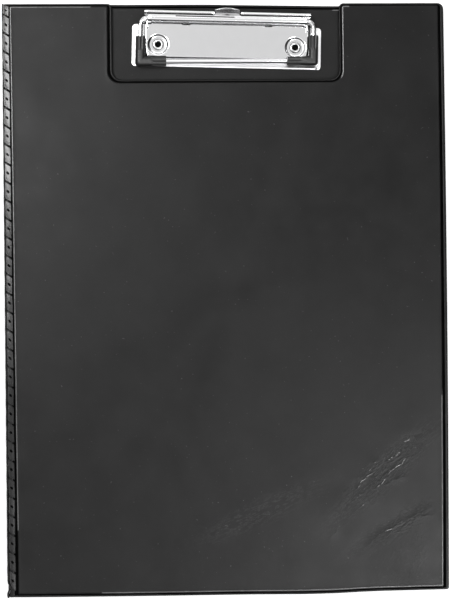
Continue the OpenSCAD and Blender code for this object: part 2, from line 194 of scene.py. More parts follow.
def sky():
    """Pale sky for matte surfaces, and for glossy ones a white tent with a grey top."""
    world = bpy.data.worlds.new("sky")
    bpy.context.scene.world = world
    world.use_nodes = True
    add = builder(world.node_tree)
    way = add("ShaderNodeTexCoord").outputs["Generated"]
    split = add("ShaderNodeSeparateXYZ", [way]).outputs

    def facing(direction):
        """How far a ray points in a direction."""
        return add("ShaderNodeVectorMath", [way, direction],
                   operation="DOT_PRODUCT").outputs["Value"]

    tent = ramp(add, facing((0.035, 0.055, 0.998)),
                [(0.0, 1.0), (0.955, 1.0), (0.972, 0.735), (1.0, 0.735)])
    horizon = ramp(add, split["Z"], [(0.05, 0.04), (0.24, 0.08), (0.36, 1.0), (1.0, 1.0)])
    near_side = ramp(add, facing((0.0, 0.32, 1.0)),
                     [(0.0, 0.03), (0.29, 0.05), (0.42, 1.0), (1.0, 1.0)])
    side = add("ShaderNodeMath", [split["X"], 0.5, 0.5], operation="MULTIPLY_ADD")
    right_side = ramp(add, side, [(0.70, 1.0), (0.80, 0.12), (0.93, 0.03), (1.0, 0.3)])
    for shade in (horizon, near_side, right_side):
        tent = add("ShaderNodeVectorMath", [tent, shade], operation="MULTIPLY")
    white = (1, 1, 1, 1)
    mirror_sky = add("ShaderNodeBackground", {"Color": tent, "Strength": 1.10})
    plain_sky = add("ShaderNodeBackground", {"Color": white, "Strength": 0.36})
    white_sky = add("ShaderNodeBackground", {"Color": white})
    rays = add("ShaderNodeLightPath").outputs
    gloss = add("ShaderNodeMixShader", [rays["Is Glossy Ray"], plain_sky, mirror_sky])
    seen = add("ShaderNodeMixShader", [rays["Is Camera Ray"], gloss, white_sky])
    add("ShaderNodeOutputWorld", {"Surface": seen})


sky()
bpy.context.scene.view_settings.view_transform = "Standard"
print("three lamps and a pale sky")

# %% [markdown]
# The finishes come next. Each one is a small node tree on Object coordinates, which are the
# frame's own metres, so a grain of a third of a millimetre is the same size on every piece.
# Noise textures drive the colour, the gloss and the relief.

# %% Helpers for finishes
def noise(add, where, scale, detail=3.0, rough=0.5, stretch=(1, 1, 1)):
    """Noise texture on Object coordinates; scale counts its blobs per metre."""
    stretched = add("ShaderNodeMapping", {"Vector": where, "Scale": stretch})
    return add("ShaderNodeTexNoise", {
        "Vector": stretched, "Scale": scale, "Detail": detail, "Roughness": rough})


def bumps(add, height, distance, strength=1.0, under=None):
    """Bump node; distance is the relief's height in metres."""
    inputs = {"Height": height, "Distance": distance, "Strength": strength}
    return add("ShaderNodeBump", inputs if under is None else {**inputs, "Normal": under})


def greyed(add, factor, colour, grey):
    """Colour that turns to a grey where factor is one."""
    return add("ShaderNodeMix", {"Factor": factor, "A": colour, "B": (grey, grey, grey, 1)},
               data_type="RGBA").outputs["Result"]


def surface(add, colour, roughness, normal, **others):
    """Principled surface; others are the rest of its inputs, with _ for a space."""
    inputs = {"Base Color": colour, "Roughness": roughness, "Normal": normal}
    inputs.update({label.replace("_", " "): value for label, value in others.items()})
    add("ShaderNodeOutputMaterial", {"Surface": add("ShaderNodeBsdfPrincipled", inputs)})


print("helpers for finishes")

# %% [markdown]
# PVC film on a clipboard is calendered with a faint leather grain. It is almost black, with a
# satin sheen. Two layers of relief make that: shallow pebbles a third of a millimetre wide,
# and long soft waves where the film lies loose on its board. A few grey specks stand for dust
# and rub marks. The inside film is the same with less sheen, and the welded pads of the spine
# are the same film melted smooth, so they are glossier. The pads have three finishes, lit and
# shaded copies, which are painted darker and less shiny towards the foot as painted shade. The
# weld line is pressed matt and painted near black, which is painted shade in its groove and
# along the edge. The shoulders that hands rub are stretched and painted grey, partly as wear
# and partly as a painted highlight. The pinhole floors are painted dead black, as painted shade.

# %% PVC film
bent_ovals = [
    ((0.083, -0.092), 0.052, 0.011, 43, 1.0), ((0.088, -0.121), 0.042, 0.008, 30, 0.7),
    ((0.018, -0.112), 0.048, 0.009, 24, 0.45), ((0.092, -0.140), 0.030, 0.020, 50, 0.3),
]


def hatch(add, where):
    """Fine parallel wrinkles, inside the long ovals where the cover has been bent."""
    total = 0.0
    for centre, half_long, half_wide, turn, strength in bent_ovals:
        turned = add("ShaderNodeMapping", {
            "Vector": where, "Location": (*centre, 0), "Rotation": (0, 0, math.radians(turn)),
        }, vector_type="TEXTURE")
        lines = ramp(add, noise(add, turned, 230, 2, 0.6, (1, 5.5, 1)),
                     [(0.50, 0.0), (0.57, 1.0), (0.64, 0.0)])
        oval = add("ShaderNodeMapping", {
            "Vector": turned, "Scale": (1 / half_long, 1 / half_wide, 0)})
        from_middle = add("ShaderNodeVectorMath", [oval], operation="LENGTH").outputs["Value"]
        near = ramp(add, from_middle, [(0.3, strength), (1.0, 0.0)])
        total = add("ShaderNodeMath", [lines, near, total], operation="MULTIPLY_ADD")
    return total


def pvc(name, deep, pale, gloss, grain_height, shine, speck=0.05, creased=False):
    """Film mottled from deep to pale grey, with roughness gloss and specular level shine."""
    material, add, where = new_material(name)
    tint = ramp(add, noise(add, where, 45, 5, 0.6), [(0.3, deep), (0.7, pale)])
    dusty = ramp(add, noise(add, where, 900, 1, 0.4), [(0.765, 0.0), (0.82, 1.0)])
    colour = greyed(add, dusty, tint, speck)
    sheen = ramp(add, noise(add, where, 60, 4, 0.6), [(0.3, gloss - 0.04), (0.7, gloss + 0.05)])
    pebbles = add("ShaderNodeTexVoronoi", {"Vector": where, "Scale": 2600})
    relief = bumps(add, pebbles.outputs["Distance"], grain_height)
    relief = bumps(add, noise(add, where, 260, 6, 0.62, (1, 0.6, 1)), 0.00006, 0.6, relief)
    relief = bumps(add, noise(add, where, 28, 2, 0.5), 0.0006, 0.35, relief)
    if creased:
        wrinkles = hatch(add, where)
        relief = bumps(add, wrinkles, 0.00007, 1.0, relief)
        # The wrinkle lines are painted grey, partly as stretched film and partly as a painted
        # highlight.
        colour = greyed(add, wrinkles, colour, 0.034)
    surface(add, colour, sheen, relief, Specular_IOR_Level=shine)
    return material


film_outside = pvc("film_outside", 0.003, 0.007, 0.36, 0.000012, 0.17, 0.06, True)
film_inside = pvc("film_inside", 0.003, 0.007, 0.46, 0.000015, 0.17)
# The three pad finishes are lit and shaded copies: lighter and shinier at the top, painted darker
# towards the foot.
film_melted = pvc("film_melted", 0.014, 0.024, 0.26, 0.000006, 0.55)
film_melted_half = pvc("film_melted_half", 0.012, 0.020, 0.28, 0.000006, 0.34)
film_melted_dull = pvc("film_melted_dull", 0.008, 0.015, 0.32, 0.000006, 0.20)
# Painted shade: the weld groove and the outer edge are painted near black, where they lie in
# shade.
film_weld = pvc("film_weld", 0.001, 0.003, 0.60, 0.000010, 0.0, 0.006)
# Grey worn film: partly wear, partly a painted highlight on rubbed shoulders and crease crests.
film_worn = pvc("film_worn", 0.05, 0.11, 0.26, 0.000006, 0.8, 0.14)
# Painted shade: near black for the floors of the pinholes, which lie in shade.
film_burnt = pvc("film_burnt", 0.001, 0.002, 0.7, 0.000020, 0.0, 0.002)
print("eight film finishes")

# %% [markdown]
# The clip is pressed from steel sheet and chromed. Chrome is a mirror with a cool grey tint,
# and a cheap pressing is never quite flat, so a slow ripple bends its reflections. The rivets,
# washers and pin are zinc plated, which is duller and a little mottled.

# %% Metals
def plated(name, tone, gloss, ripple, scratches=0.03):
    """Plated metal: its grey, its roughness, and the height of its ripple in metres."""
    material, add, where = new_material(name)
    low, high = tone - 0.008, tone + 0.006
    tint = ramp(add, noise(add, where, 220, 3, 0.5),
                [(0.3, (low, low, low * 1.01)), (0.7, (high, high, high * 1.01))])
    rub = noise(add, where, 500, 4, 0.6, (0.15, 1, 1))
    sheen = ramp(add, rub, [(0.35, gloss), (0.75, gloss + scratches)])
    slow = noise(add, where, 55, 1, 0.4, (0.5, 1, 1))
    surface(add, tint, sheen, bumps(add, slow, ripple), Metallic=1.0)
    return material


chrome = plated("chrome_plate", 0.80, 0.08, 0.0004)
chrome_satin = plated("chrome_satin", 0.82, 0.36, 0.0004)
zinc = plated("zinc_plate", 0.55, 0.24, 0.0001, 0.12)
spring_steel = plated("spring_steel", 0.42, 0.22, 0.0, 0.15)
hook_steel = plated("hook_steel", 0.46, 0.16, 0.0002)


def crease_dirt():
    """Painted shade: a dull dark finish for the lever's folds and around and in the rivets."""
    material, add, where = new_material("crease_dirt")
    cloud = noise(add, where, 600, 3, 0.6)
    surface(add, ramp(add, cloud, [(0.35, 0.004), (0.7, 0.03)]), 0.6,
            bumps(add, cloud, 0.00002, 0.6), Specular_IOR_Level=0.1)
    return material


# Painted shade for the lever's folds and for the rivets' rings and bores.
dirt = crease_dirt()
print("five metal finishes, and dirt")

# %% [markdown]
# The sleeves on the bail are soft black PVC with a dull skin, and the boards are grey recycled
# card, which is fibrous. Both get noise for colour and for relief.

# %% Sleeve rubber and grey board
def sleeve_rubber():
    """Soft black PVC with a dull, faintly rough skin."""
    material, add, where = new_material("sleeve_rubber")
    cloud = noise(add, where, 300, 4, 0.6)
    skin = noise(add, where, 2500, 3, 0.6)
    surface(add, ramp(add, cloud, [(0.3, 0.006), (0.75, 0.013)]),
            ramp(add, cloud, [(0.3, 0.40), (0.7, 0.48)]), bumps(add, skin, 0.00002, 0.7))
    return material


def grey_card():
    """Recycled card with long fibres."""
    material, add, where = new_material("grey_card")
    fibre = noise(add, where, 700, 6, 0.7, (1, 0.3, 3))
    surface(add, ramp(add, fibre, [(0.3, (0.30, 0.27, 0.23)), (0.7, (0.46, 0.42, 0.36))]), 0.9,
            bumps(add, fibre, 0.00008, 0.8))
    return material


rubber, card = sleeve_rubber(), grey_card()
inner_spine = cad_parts["spine_inner_film"].data
inner_spine.materials.clear()
inner_spine.materials.append(film_inside)
print("rubber and card, and the spine's inner film has its finish")

# %% [markdown]
# These helpers turn points and faces into finished pieces. Points are in millimetres. Faces
# that meet at less than the given angle are shaded as one smooth surface.

# %% Helpers for pieces
MM = 0.001


def piece(name, points, faces, material, smooth=40):
    """Mesh object at the origin from points in millimetres."""
    mesh = bpy.data.meshes.new(name)
    mesh.from_pydata((np.asarray(points, float) * MM).tolist(), [], [list(f) for f in faces])
    mesh.materials.append(material)
    mesh.shade_smooth()
    mesh.set_sharp_from_angle(angle=math.radians(smooth))
    mesh.validate()
    return in_scene(name, mesh)


def settle(obj):
    """Applies the modifiers that are on obj, and leaves a plain mesh."""
    bpy.context.view_layer.update()
    seen = obj.evaluated_get(bpy.context.evaluated_depsgraph_get())
    mesh = bpy.data.meshes.new_from_object(seen)
    obj.modifiers.clear()
    obj.data = mesh
    return obj


def soften(obj, width, angle=40):
    """Rounds the sharp edges of obj, by width in millimetres."""
    bevel = obj.modifiers.new("soften", "BEVEL")
    bevel.width = width * MM
    bevel.segments = 2
    bevel.limit_method = "ANGLE"
    bevel.angle_limit = math.radians(angle)
    settle(obj)
    obj.data.shade_smooth()
    obj.data.set_sharp_from_angle(angle=math.radians(50))
    return obj


def thicken(obj, thickness, even=False):
    """Gives a sheet its thickness in millimetres, half of it on each side."""
    solid = obj.modifiers.new("sheet", "SOLIDIFY")
    solid.thickness = thickness * MM
    solid.offset = 0
    solid.use_even_offset = even
    return settle(obj)


def paint(obj, more, index):
    """Adds finishes to obj; index holds the finish of each face, 0 for its first one."""
    for material in more:
        obj.data.materials.append(material)
    obj.data.polygons.foreach_set("material_index", np.asarray(index, int))


def together(name, parts):
    """One mesh object from several, with the finishes of the first."""
    points, faces, finish = [], [], []
    materials = list(parts[0].data.materials)
    for part in parts:
        faces += [[i + len(points) for i in p.vertices] for p in part.data.polygons]
        finish += [p.material_index for p in part.data.polygons]
        points += [v.co / MM for v in part.data.vertices]
        bpy.data.objects.remove(part)
    whole = piece(name, points, faces, materials[0], 50)
    paint(whole, materials[1:], finish)
    return whole


def dress(obj, body, slot, *nodes):
    """Tells the frame which body carries a piece and what it replaces; slot is not used."""
    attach(obj, body)
    if nodes:
        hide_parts(*nodes)
    print(obj.name, len(obj.data.vertices), "points,", len(obj.data.polygons), "faces")


print("helpers for pieces")

# %% [markdown]
# The sizes below repeat the CAD model's own values, in millimetres. A panel is a board between
# two films, which are welded together in a rim around it. The cover has a notch at the top.

# %% Sizes of the folder
top_y, open_x, crease_x = 155.5, 116.5, -116.0
film_t, board_half, panel_half = 0.35, 1.0, 1.35
back_mid, cover_mid = 1.35, 4.95
rim_bottom, rim_open, rim_top, rim_floor = 1.7, 3.0, 1.4, 1.5
rim_notch_left, rim_notch_right, rim_back_top = 2.3, 1.45, 1.9
bead_r = 0.5
spine_edge = crease_x + bead_r + 0.02
rim_spine = 3.95
notch_left, notch_right, notch_floor = -58.9, 60.7, 115.5
spine_lean, bow, foot_wave, top_sag = 0.9, 0.6, 0.40, 0.95

cover_corners = [
    (spine_edge, -top_y, 0.8), (open_x, -top_y, 1.2), (open_x, top_y, 3.0),
    (notch_right, top_y, 2.5), (notch_right, notch_floor, 5.0),
    (notch_left, notch_floor, 5.0), (notch_left, top_y, 2.5), (spine_edge, top_y, 0.8),
]
cover_rims = [rim_bottom, rim_open, rim_top, rim_notch_right, rim_floor, rim_notch_left, rim_top,
              rim_spine]
back_corners = [
    (spine_edge, -top_y, 0.8), (open_x, -top_y, 1.2),
    (open_x, top_y, 3.0), (spine_edge, top_y, 0.8),
]
back_rims = [rim_bottom, rim_open, rim_back_top, rim_spine]
print("folder", open_x * 2, "x", top_y * 2, "mm")

# %% [markdown]
# A panel's film is drawn as a nest of outlines, one inside the next, like contour lines. Each
# outline follows the panel's edge at its own distance and height, so together they form the
# rounded rim, the pressed weld line beside the board, and the shoulder where the film climbs
# over the board's edge. The same corner helper serves straight corners and the notch's inner
# ones, and every outline has the same number of points, so rows join point to point.

# %% Outlines of a panel
def outline(corners, insets, spans, steps=5):
    """Rounded outline, anticlockwise. Edge k runs from corner k and moves in by insets[k]."""
    count = len(corners)
    place = np.array([c[:2] for c in corners], float)
    along = np.roll(place, -1, 0) - place
    along /= np.linalg.norm(along, axis=1)[:, None]
    inward = np.stack([-along[:, 1], along[:, 0]], 1)
    rows, ends = [], []
    for k in range(count):
        before = (k - 1) % count
        spot = place[k] + insets[before] * inward[before] + insets[k] * inward[k]
        turn = along[before][0] * along[k][1] - along[before][1] * along[k][0]
        shrink = 0.5 * (insets[before] + insets[k])
        radius = max(corners[k][2] + (-shrink if turn > 0 else 0.5 * shrink), 0.5)
        centre = spot - radius * along[before] + radius * along[k]
        angle = np.radians(np.linspace(0, 90, steps + 1))[:, None]
        bend = centre - radius * np.cos(angle) * along[k] + radius * np.sin(angle) * along[before]
        ends.append(bend)
    for k in range(count):
        rows.append(ends[k])
        start, stop = ends[k][-1], ends[(k + 1) % count][0]
        part = np.linspace(0, 1, spans[k] + 1)[1:-1, None]
        rows.append(start + part * (stop - start))
    return np.concatenate(rows)


def span_counts(corners, spacing):
    """Number of steps along each edge of an outline."""
    place = np.array([c[:2] for c in corners], float)
    lengths = np.linalg.norm(np.roll(place, -1, 0) - place, axis=1)
    return [max(int(length / spacing), 2) for length in lengths]


def arc(centre, radius, start, stop, steps):
    """Points on an arc, from one angle in degrees to another."""
    return [(centre[0] + radius * math.cos(a), centre[1] + radius * math.sin(a))
            for a in np.radians(np.linspace(start, stop, steps))]


def ring_points(radius, sides, centre=(0.0, 0.0)):
    """Points of a whole circle."""
    turn = np.linspace(0, 2 * math.pi, sides, endpoint=False)
    return np.stack([centre[0] + radius * np.cos(turn), centre[1] + radius * np.sin(turn)], 1)


def ring_faces(low, high, n, corner=0):
    """Faces between two closed rows of n points, the first of which are low and high.

    Each face starts at its given corner, which decides how it is split into triangles.
    """
    quads = [[low + i, low + (i + 1) % n, high + (i + 1) % n, high + i] for i in range(n)]
    return [quad[corner:] + quad[:corner] for quad in quads]


def hole_radius(loop):
    """A little under the radius of a round hole's outline."""
    return 0.97 * np.linalg.norm(loop - loop.mean(0), axis=1).min()


def fill(edge, extra=(), holes=()):
    """Triangles between the outline edge, the holes and the extra points."""
    points = np.concatenate([edge] + list(holes) + ([extra] if len(extra) else []))
    loops, start = [], 0
    for loop in [edge] + list(holes):
        loops.append(list(range(start, start + len(loop))))
        start += len(loop)
    edges = [(loop[i], loop[(i + 1) % len(loop)]) for loop in loops for i in range(len(loop))]
    _, _, faces, origin, _, _ = delaunay_2d_cdt(
        [Vector(p) for p in points.tolist()], edges, [loops[0]], 1, 1e-7)
    back = [o[0] if o else -1 for o in origin]
    faces = [[back[i] for i in f] for f in faces]

    def in_hole(f):
        middle = points[f].mean(0)
        return any(np.linalg.norm(middle - h.mean(0)) < hole_radius(h) for h in holes)

    return points, [f for f in faces if -1 not in f and not in_hole(f)]


def inside(points, corners, insets, margin):
    """Which points lie within a panel's outline, margin millimetres clear of it."""
    place = np.array([c[:2] for c in corners], float)
    low, high = place.min(0), place.max(0)
    x, y = points[:, 0], points[:, 1]
    good = (x > low[0] + insets[-1] + margin) & (x < high[0] - insets[1] - margin)
    good &= (y > low[1] + insets[0] + margin) & (y < high[1] - insets[2] - margin)
    if len(corners) > 4:
        in_notch = (y > notch_floor - insets[4] - margin) & (
            x > notch_left - insets[5] - margin) & (x < notch_right + insets[3] + margin)
        good &= ~in_notch
    return good


print("helpers for outlines")

# %% [markdown]
# The profile lists how far in from the edge each outline lies and how high it stands above the
# middle plane, where the two films are welded. The first number is a share of the rim, and the
# second is a distance beyond that. The film is thinnest in the weld line, and it stands a
# little proud just inside the shoulder, where it is stretched over the board's edge. The rings
# between some of these outlines have the weld's finish, painted near black as painted shade,
# and others are painted worn grey where hands rub, partly as wear and partly as a painted
# highlight.

# %% Film profile
film_profile = [
    (0.0, 0.00, 0.01), (0.0, 0.03, 0.14), (0.0, 0.10, 0.26), (0.0, 0.22, 0.35),
    (0.2, 0.12, 0.42), (0.34, 0.05, 0.44), (0.54, -0.06, 0.40), (0.60, -0.04, 0.28),
    (0.64, 0.00, 0.08), (0.90, -0.12, 0.06), (0.95, -0.06, 0.22), (1.0, -0.04, 0.60),
    (1.0, 0.10, 1.00), (1.0, 0.26, 1.26), (1.0, 0.46, 1.39), (1.0, 0.72, 1.41),
    (1.0, 1.10, 1.38), (1.0, 1.80, 1.35), (1.0, 2.80, 1.345),
]
weld_rings = (0, 1, 2, 6, 7, 8, 9, 10)
worn_rings = (12, 13, 14)
crest_height = 0.06
field_gap = 1.2
pinch_y = -150.0
print(len(film_profile), "outlines in a film")

# %% How a film lies
def worn(places):
    """Grey shoulder, as wear and painted highlight: spine, notch's right side, top left, lower
    right.
    """
    x, y = places[:, 0], places[:, 1]
    rubbed = (x < -105) & (y > -120)
    rubbed |= (x > 60) & (x < 67) & (y > 117)
    rubbed |= (x < -70) & (y > 140)
    return rubbed | (x > 110) & (y < -52) | (y < -148) & (x > -70)


def pinch(points):
    """The spine's edge is drawn in near the bottom, where the weld ends, and flares below it."""
    moved = points.copy()
    near = np.clip((-112.6 - points[:, 0]) / 2.6, 0, 1)
    y = points[:, 1]
    drawn_in = 1.15 * np.exp(-((y - pinch_y) / 1.7) ** 2)
    flare = 0.25 * np.exp(-((y + 154) / 1.2) ** 2)
    moved[:, 0] += near * (drawn_in - flare)
    return moved


def lean(points):
    """The spine's shoulder leans out at the top, and the free edges bow out in the middle."""
    moved = points.copy()
    x, y = points[:, 0], points[:, 1]
    near = np.clip((-100 - x) / 10, 0, 1) * np.clip((x + 115.4) / 2.5, 0, 1)
    moved[:, 0] -= near * spine_lean * (0.15 + y / top_y)
    moved[:, 0] += bow * np.clip((x - 90) / 20, 0, 1) * (0.5 - (y / top_y) ** 2)
    low = np.clip((-y - 120) / 20, 0, 1)
    moved[:, 1] -= low * bow * (0.5 - (x / open_x) ** 2)
    dip = np.exp(-((x - 42) / 22) ** 2) - np.clip((x - 58) / 20, 0, 1)
    moved[:, 1] -= low * foot_wave * dip
    return pinch(moved)


def sink(points):
    """The back panel's top edge runs a little low on the right."""
    moved = points.copy()
    x, y = points[:, 0], points[:, 1]
    moved[:, 1] -= top_sag * np.clip((x + 10) / 65, 0, 1) * np.clip((y - 135) / 18, 0, 1)
    return moved


def as_laid(flat, mid):
    """Points of an outline where the films of the panel at height mid really lie."""
    return sink(lean(flat)) if mid == back_mid else lean(flat)


print("the films lean by", spine_lean, "and bow by", bow, "mm")

# %% Film of a panel
def panel_film(name, corners, rims, mid, side, material, extra, relief, spacing=4.0, holes=()):
    """Closed film: rim, weld line, shoulder, field, and the hollow that the board fills."""
    spans = span_counts(corners, spacing)
    points, faces = [], []

    def add(flat, height):
        start = len(points)
        levels = height if np.ndim(height) else np.full(len(flat), float(height))
        points.extend([x, y, mid + side * z] for (x, y), z in zip(as_laid(flat, mid), levels))
        return start

    def cover(quads):
        faces.extend(ids if side > 0 else ids[::-1] for ids in quads)

    rings = []
    for share, shift, height in film_profile:
        flat = outline(corners, [share * rim + shift for rim in rims], spans)
        rings.append((flat, add(flat, height + relief(flat) * min(max(shift, 0) * share, 1))))
    n = len(rings[0][0])
    for (_, outer), (_, inner) in zip(rings, rings[1:]):
        cover(ring_faces(outer, inner, n))
    # The field lies inside the last outline, which is the profile's last line.
    clear = [share * rim + shift for rim in rims]
    field = extra[inside(extra, corners, clear, field_gap)]
    field = np.array([p for p in field if all(
        np.linalg.norm(p - h.mean(0)) > hole_radius(h) * 1.03 + field_gap for h in holes)])
    deepest, last_ring = rings[-1]
    flat, triangles = fill(deepest, field.reshape(-1, 2), holes)
    start = add(flat[n:], height + relief(flat[n:])) - n
    crests = {start + n + i for i in np.flatnonzero(relief(flat[n:]) > crest_height)}
    cover([last_ring + i if i < n else start + i for i in t] for t in triangles)
    lip = outline(corners, [rim + film_t for rim in rims], spans)
    at_mid = add(lip, 0.01)
    at_board = add(lip, board_half)
    cover(ring_faces(at_mid, rings[0][1], n, 3) + ring_faces(at_board, at_mid, n, 3))
    flat, triangles = fill(lip, (), holes)
    under = add(flat[n:], board_half) - n if len(flat) > n else 0
    cover([at_board + i if i < n else under + i for i in t][::-1] for t in triangles)
    offset = n
    for hole in holes:
        cover(ring_faces(under + offset, start + offset, len(hole)))
        offset += len(hole)
    panel = piece(name, points, faces, material, 55)
    # Crests and worn rings get the grey film, partly as a painted highlight.
    bands = np.array([2 * (sum(i in crests for i in ids) > 1) for ids in faces])
    for k, (flat, _) in enumerate(rings[:-1]):
        # Weld rings get the near-black finish, as painted shade.
        bands[k * n:(k + 1) * n] = int(k in weld_rings)
        if k in worn_rings and side > 0:
            bands[k * n:(k + 1) * n] = 2 * worn(flat)
    paint(panel, (film_weld, film_worn), bands)
    return panel


print("film helper")

# %% [markdown]
# Years of handling have creased the lower right of the cover. A crease is a row of points along
# a line, raised by a tenth of a millimetre, with lower points on both sides of it. Because the
# mesh itself carries the ridge, it catches the light from any side. Many short fine creases are
# strewn around the long ones with a fixed seed, and the highest crests are painted grey, partly
# as wear and partly as a painted highlight. The rest of the field gets a gentle unevenness, as
# film does on card.

# %% Creases in the cover
creases = [
    (0.17, [(74.4, -103.1), (77.2, -101.1), (79.9, -99.1), (82.6, -96.2), (86.4, -91.1),
            (91.4, -88.0), (93.6, -85.3), (98.0, -82.4)]),
    (0.11, [(63.9, -105.0), (67.8, -100.9), (70.2, -96.9), (73.5, -94.3), (75.6, -92.8),
            (78.3, -88.5), (80.9, -86.8)]),
    (0.09, [(79.1, -88.8), (83.8, -86.2), (88.6, -83.4), (93.4, -80.2), (97.5, -77.0)]),
    (0.11, [(91.6, -77.8), (94.9, -75.5), (97.8, -73.5)]),
    (0.06, [(83.8, -88.2), (89.2, -84.8), (92.2, -82.5), (95.7, -80.2)]),
    (0.08, [(68.4, -98.6), (71.1, -94.6), (74.3, -91.7), (76.8, -87.9), (80.4, -84.7),
            (83.3, -81.8)]),
    (0.07, [(59.5, -106.1), (61.9, -101.4), (64.9, -99.6)]),
    (0.08, [(65.4, -110.3), (67.2, -106.2), (70.1, -103.3), (73.7, -102.2)]),
    (0.06, [(98.1, -82.0), (101.6, -79.7), (106.4, -76.2)]),
    (0.05, [(101.7, -72.1), (105.3, -69.5)]),
    (0.10, [(74.0, -130.3), (78.1, -126.3), (83.5, -123.4), (88.8, -120.6), (93.5, -118.6)]),
    (0.06, [(94.7, -117.2), (101.3, -115.5), (106.6, -115.6)]),
    (0.05, [(86.7, -96.5), (94.4, -94.6)]),
    (0.05, [(52.2, -127.1), (55.8, -124.2), (57.9, -120.2)]),
]
crease_sides = [(-0.75, 0.0), (-0.26, 0.35), (0.0, 1.0), (0.24, 0.35), (0.62, 0.0)]


def unit(degrees):
    """Direction at an angle."""
    return np.array([math.cos(math.radians(degrees)), math.sin(math.radians(degrees))])


def left_of(way):
    """Direction a quarter turn to the left of way."""
    return np.array([-way[1], way[0]])


crease_groups = [
    ((82.0, -93.0), 24.0, 5.5, 43, 46), ((88.0, -122.0), 17.0, 3.0, 30, 16),
    ((66.0, -108.0), 9.0, 5.0, 55, 10),
]


def short_creases(seed=5):
    """Fine short creases; a group has a middle, half a length and width, a slant and a count."""
    pick = np.random.default_rng(seed)
    found = []
    for middle, half_long, half_wide, slant, count in crease_groups:
        along, across = unit(slant), left_of(unit(slant))
        for _ in range(count):
            a, b = pick.uniform(-1, 1, 2)
            start = np.array(middle) + a * half_long * along + b * half_wide * (1 - a * a) * across
            way = unit(slant + pick.uniform(-16, 16))
            end = start + pick.uniform(2.0, 6.0) * way
            bent = (start + end) / 2 + pick.uniform(-0.4, 0.4) * across
            found.append((pick.uniform(0.035, 0.085), [tuple(start), tuple(bent), tuple(end)]))
    return found


def crease_points(step=0.42):
    """Points along every crease and beside it, and the height of each."""
    places, heights = [], []
    for number, (height, line) in enumerate(creases + short_creases()):
        steps = np.linalg.norm(np.diff(line, axis=0), axis=1)
        reach_at = np.concatenate([[0], np.cumsum(steps)])
        for s in np.arange(0, reach_at[-1], step):
            behind, here, ahead = np.stack(
                [np.interp([s - 0.5, s, s + 0.5], reach_at, axis) for axis in zip(*line)], 1)
            aside = left_of((ahead - behind) / np.linalg.norm(ahead - behind))
            fade = math.sin(math.pi * min(max(s / reach_at[-1], 0.06), 0.94))
            fade *= 0.74 + 0.26 * math.sin(1.9 * s + number) * math.sin(0.7 * s + 2 * number)
            here = here + 0.22 * math.sin(1.3 * s + 1.7 * number) * aside
            for distance, share in crease_sides:
                places.append(here + distance * aside)
                heights.append(height * share * fade)
    return np.array(places), np.array(heights)


def thin_out(places, heights, gap=0.17):
    """Drops a point that lies too near a higher one."""
    order = np.argsort(-heights)
    kept = [order[0]]
    for i in order[1:]:
        if np.min(np.hypot(*(places[kept] - places[i]).T)) > gap:
            kept.append(i)
    return places[kept], heights[kept]


crease_place, crease_height = thin_out(*crease_points())
print(len(crease_place), "crease points")

# %% Field points and unevenness
def grid(spacing, low=(-114, -154), high=(115, 154)):
    """Even grid with every other row shifted by half a step."""
    x = np.arange(low[0], high[0], spacing)
    y = np.arange(low[1], high[1], spacing * 0.87)
    gx, gy = np.meshgrid(x, y)
    gx = gx + (np.arange(len(y)) % 2)[:, None] * spacing / 2
    return np.stack([gx.ravel(), gy.ravel()], 1)


def unevenness(points):
    """Slow swells of a few hundredths of a millimetre."""
    x, y = points[:, 0], points[:, 1]
    swell = 0.030 * np.sin(x / 17 + 1.3 * np.sin(y / 41)) * np.sin(y / 23 + 0.7)
    swell += 0.018 * np.sin(x / 7.5 + y / 13 + 0.4) + 0.010 * np.sin(y / 5.1 - x / 9.7)
    return swell


field_grid = grid(3.6)
far = [np.min(np.hypot(*(crease_place - p).T)) > 2.0 for p in field_grid]
cover_points = np.concatenate([field_grid[far], crease_place])
height_at = {tuple(np.round(p, 3)): h for p, h in zip(crease_place, crease_height)}


def cover_relief(points):
    """Height of the creases, and the unevenness between them."""
    lift = np.array([height_at.get(tuple(np.round(p, 3)), 0.0) for p in points])
    return unevenness(points) * (lift == 0) + lift


print(len(cover_points), "points in the cover's field")

# %% Cover films
cover_film = panel_film(
    "cover_film_outside", cover_corners, cover_rims, cover_mid, 1, film_outside,
    cover_points, cover_relief, 3.0,
)
dress(cover_film, "cover", "pvc_outside", "cover_outer_skin")
cover_lining = panel_film(
    "cover_film_inside", cover_corners, cover_rims, cover_mid, -1, film_inside,
    grid(8), unevenness, 5.0,
)
dress(cover_lining, "cover", "pvc_inside", "cover_inner_skin")

# %% [markdown]
# The back panel is made the same way. Its films are pierced by the two rivets: the inner film
# closely around each shank, the outer one widely, where the washer is let in.

# %% Back films
clip_x, clip_y, clip_turn = 1.3, top_y - 22.7, math.radians(-1.5)


def clip_xy(u, v):
    """Place on the folder of a point of the clip, which is riveted a little askew."""
    return (
        clip_x + u * math.cos(clip_turn) - v * math.sin(clip_turn),
        clip_y + u * math.sin(clip_turn) + v * math.cos(clip_turn),
    )


rivet_u, rivet_v = 36.2, 0.5


def rivet_holes(radius):
    """Round holes in a panel at the two rivets."""
    return [ring_points(radius, 32, clip_xy(side * rivet_u, rivet_v)) for side in (-1, 1)]


back_film = panel_film(
    "back_film_outside", back_corners, back_rims, back_mid, -1, film_outside,
    grid(8), lambda p: np.zeros(len(p)), 5.0, rivet_holes(4.55),
)
dress(back_film, "back_panel", "pvc_outside", "back_outer_skin")
back_lining = panel_film(
    "back_film_inside", back_corners, back_rims, back_mid, 1, film_inside,
    grid(5), unevenness, 3.0, rivet_holes(2.05),
)
dress(back_lining, "back_panel", "pvc_inside", "back_inner_skin")

# %% [markdown]
# Between its films each panel holds a stiff card. It is cut from the panel's own outline, one
# film's thickness further in than the weld, so it follows the film's shoulder all round. The
# back one has two holes for the rivets.

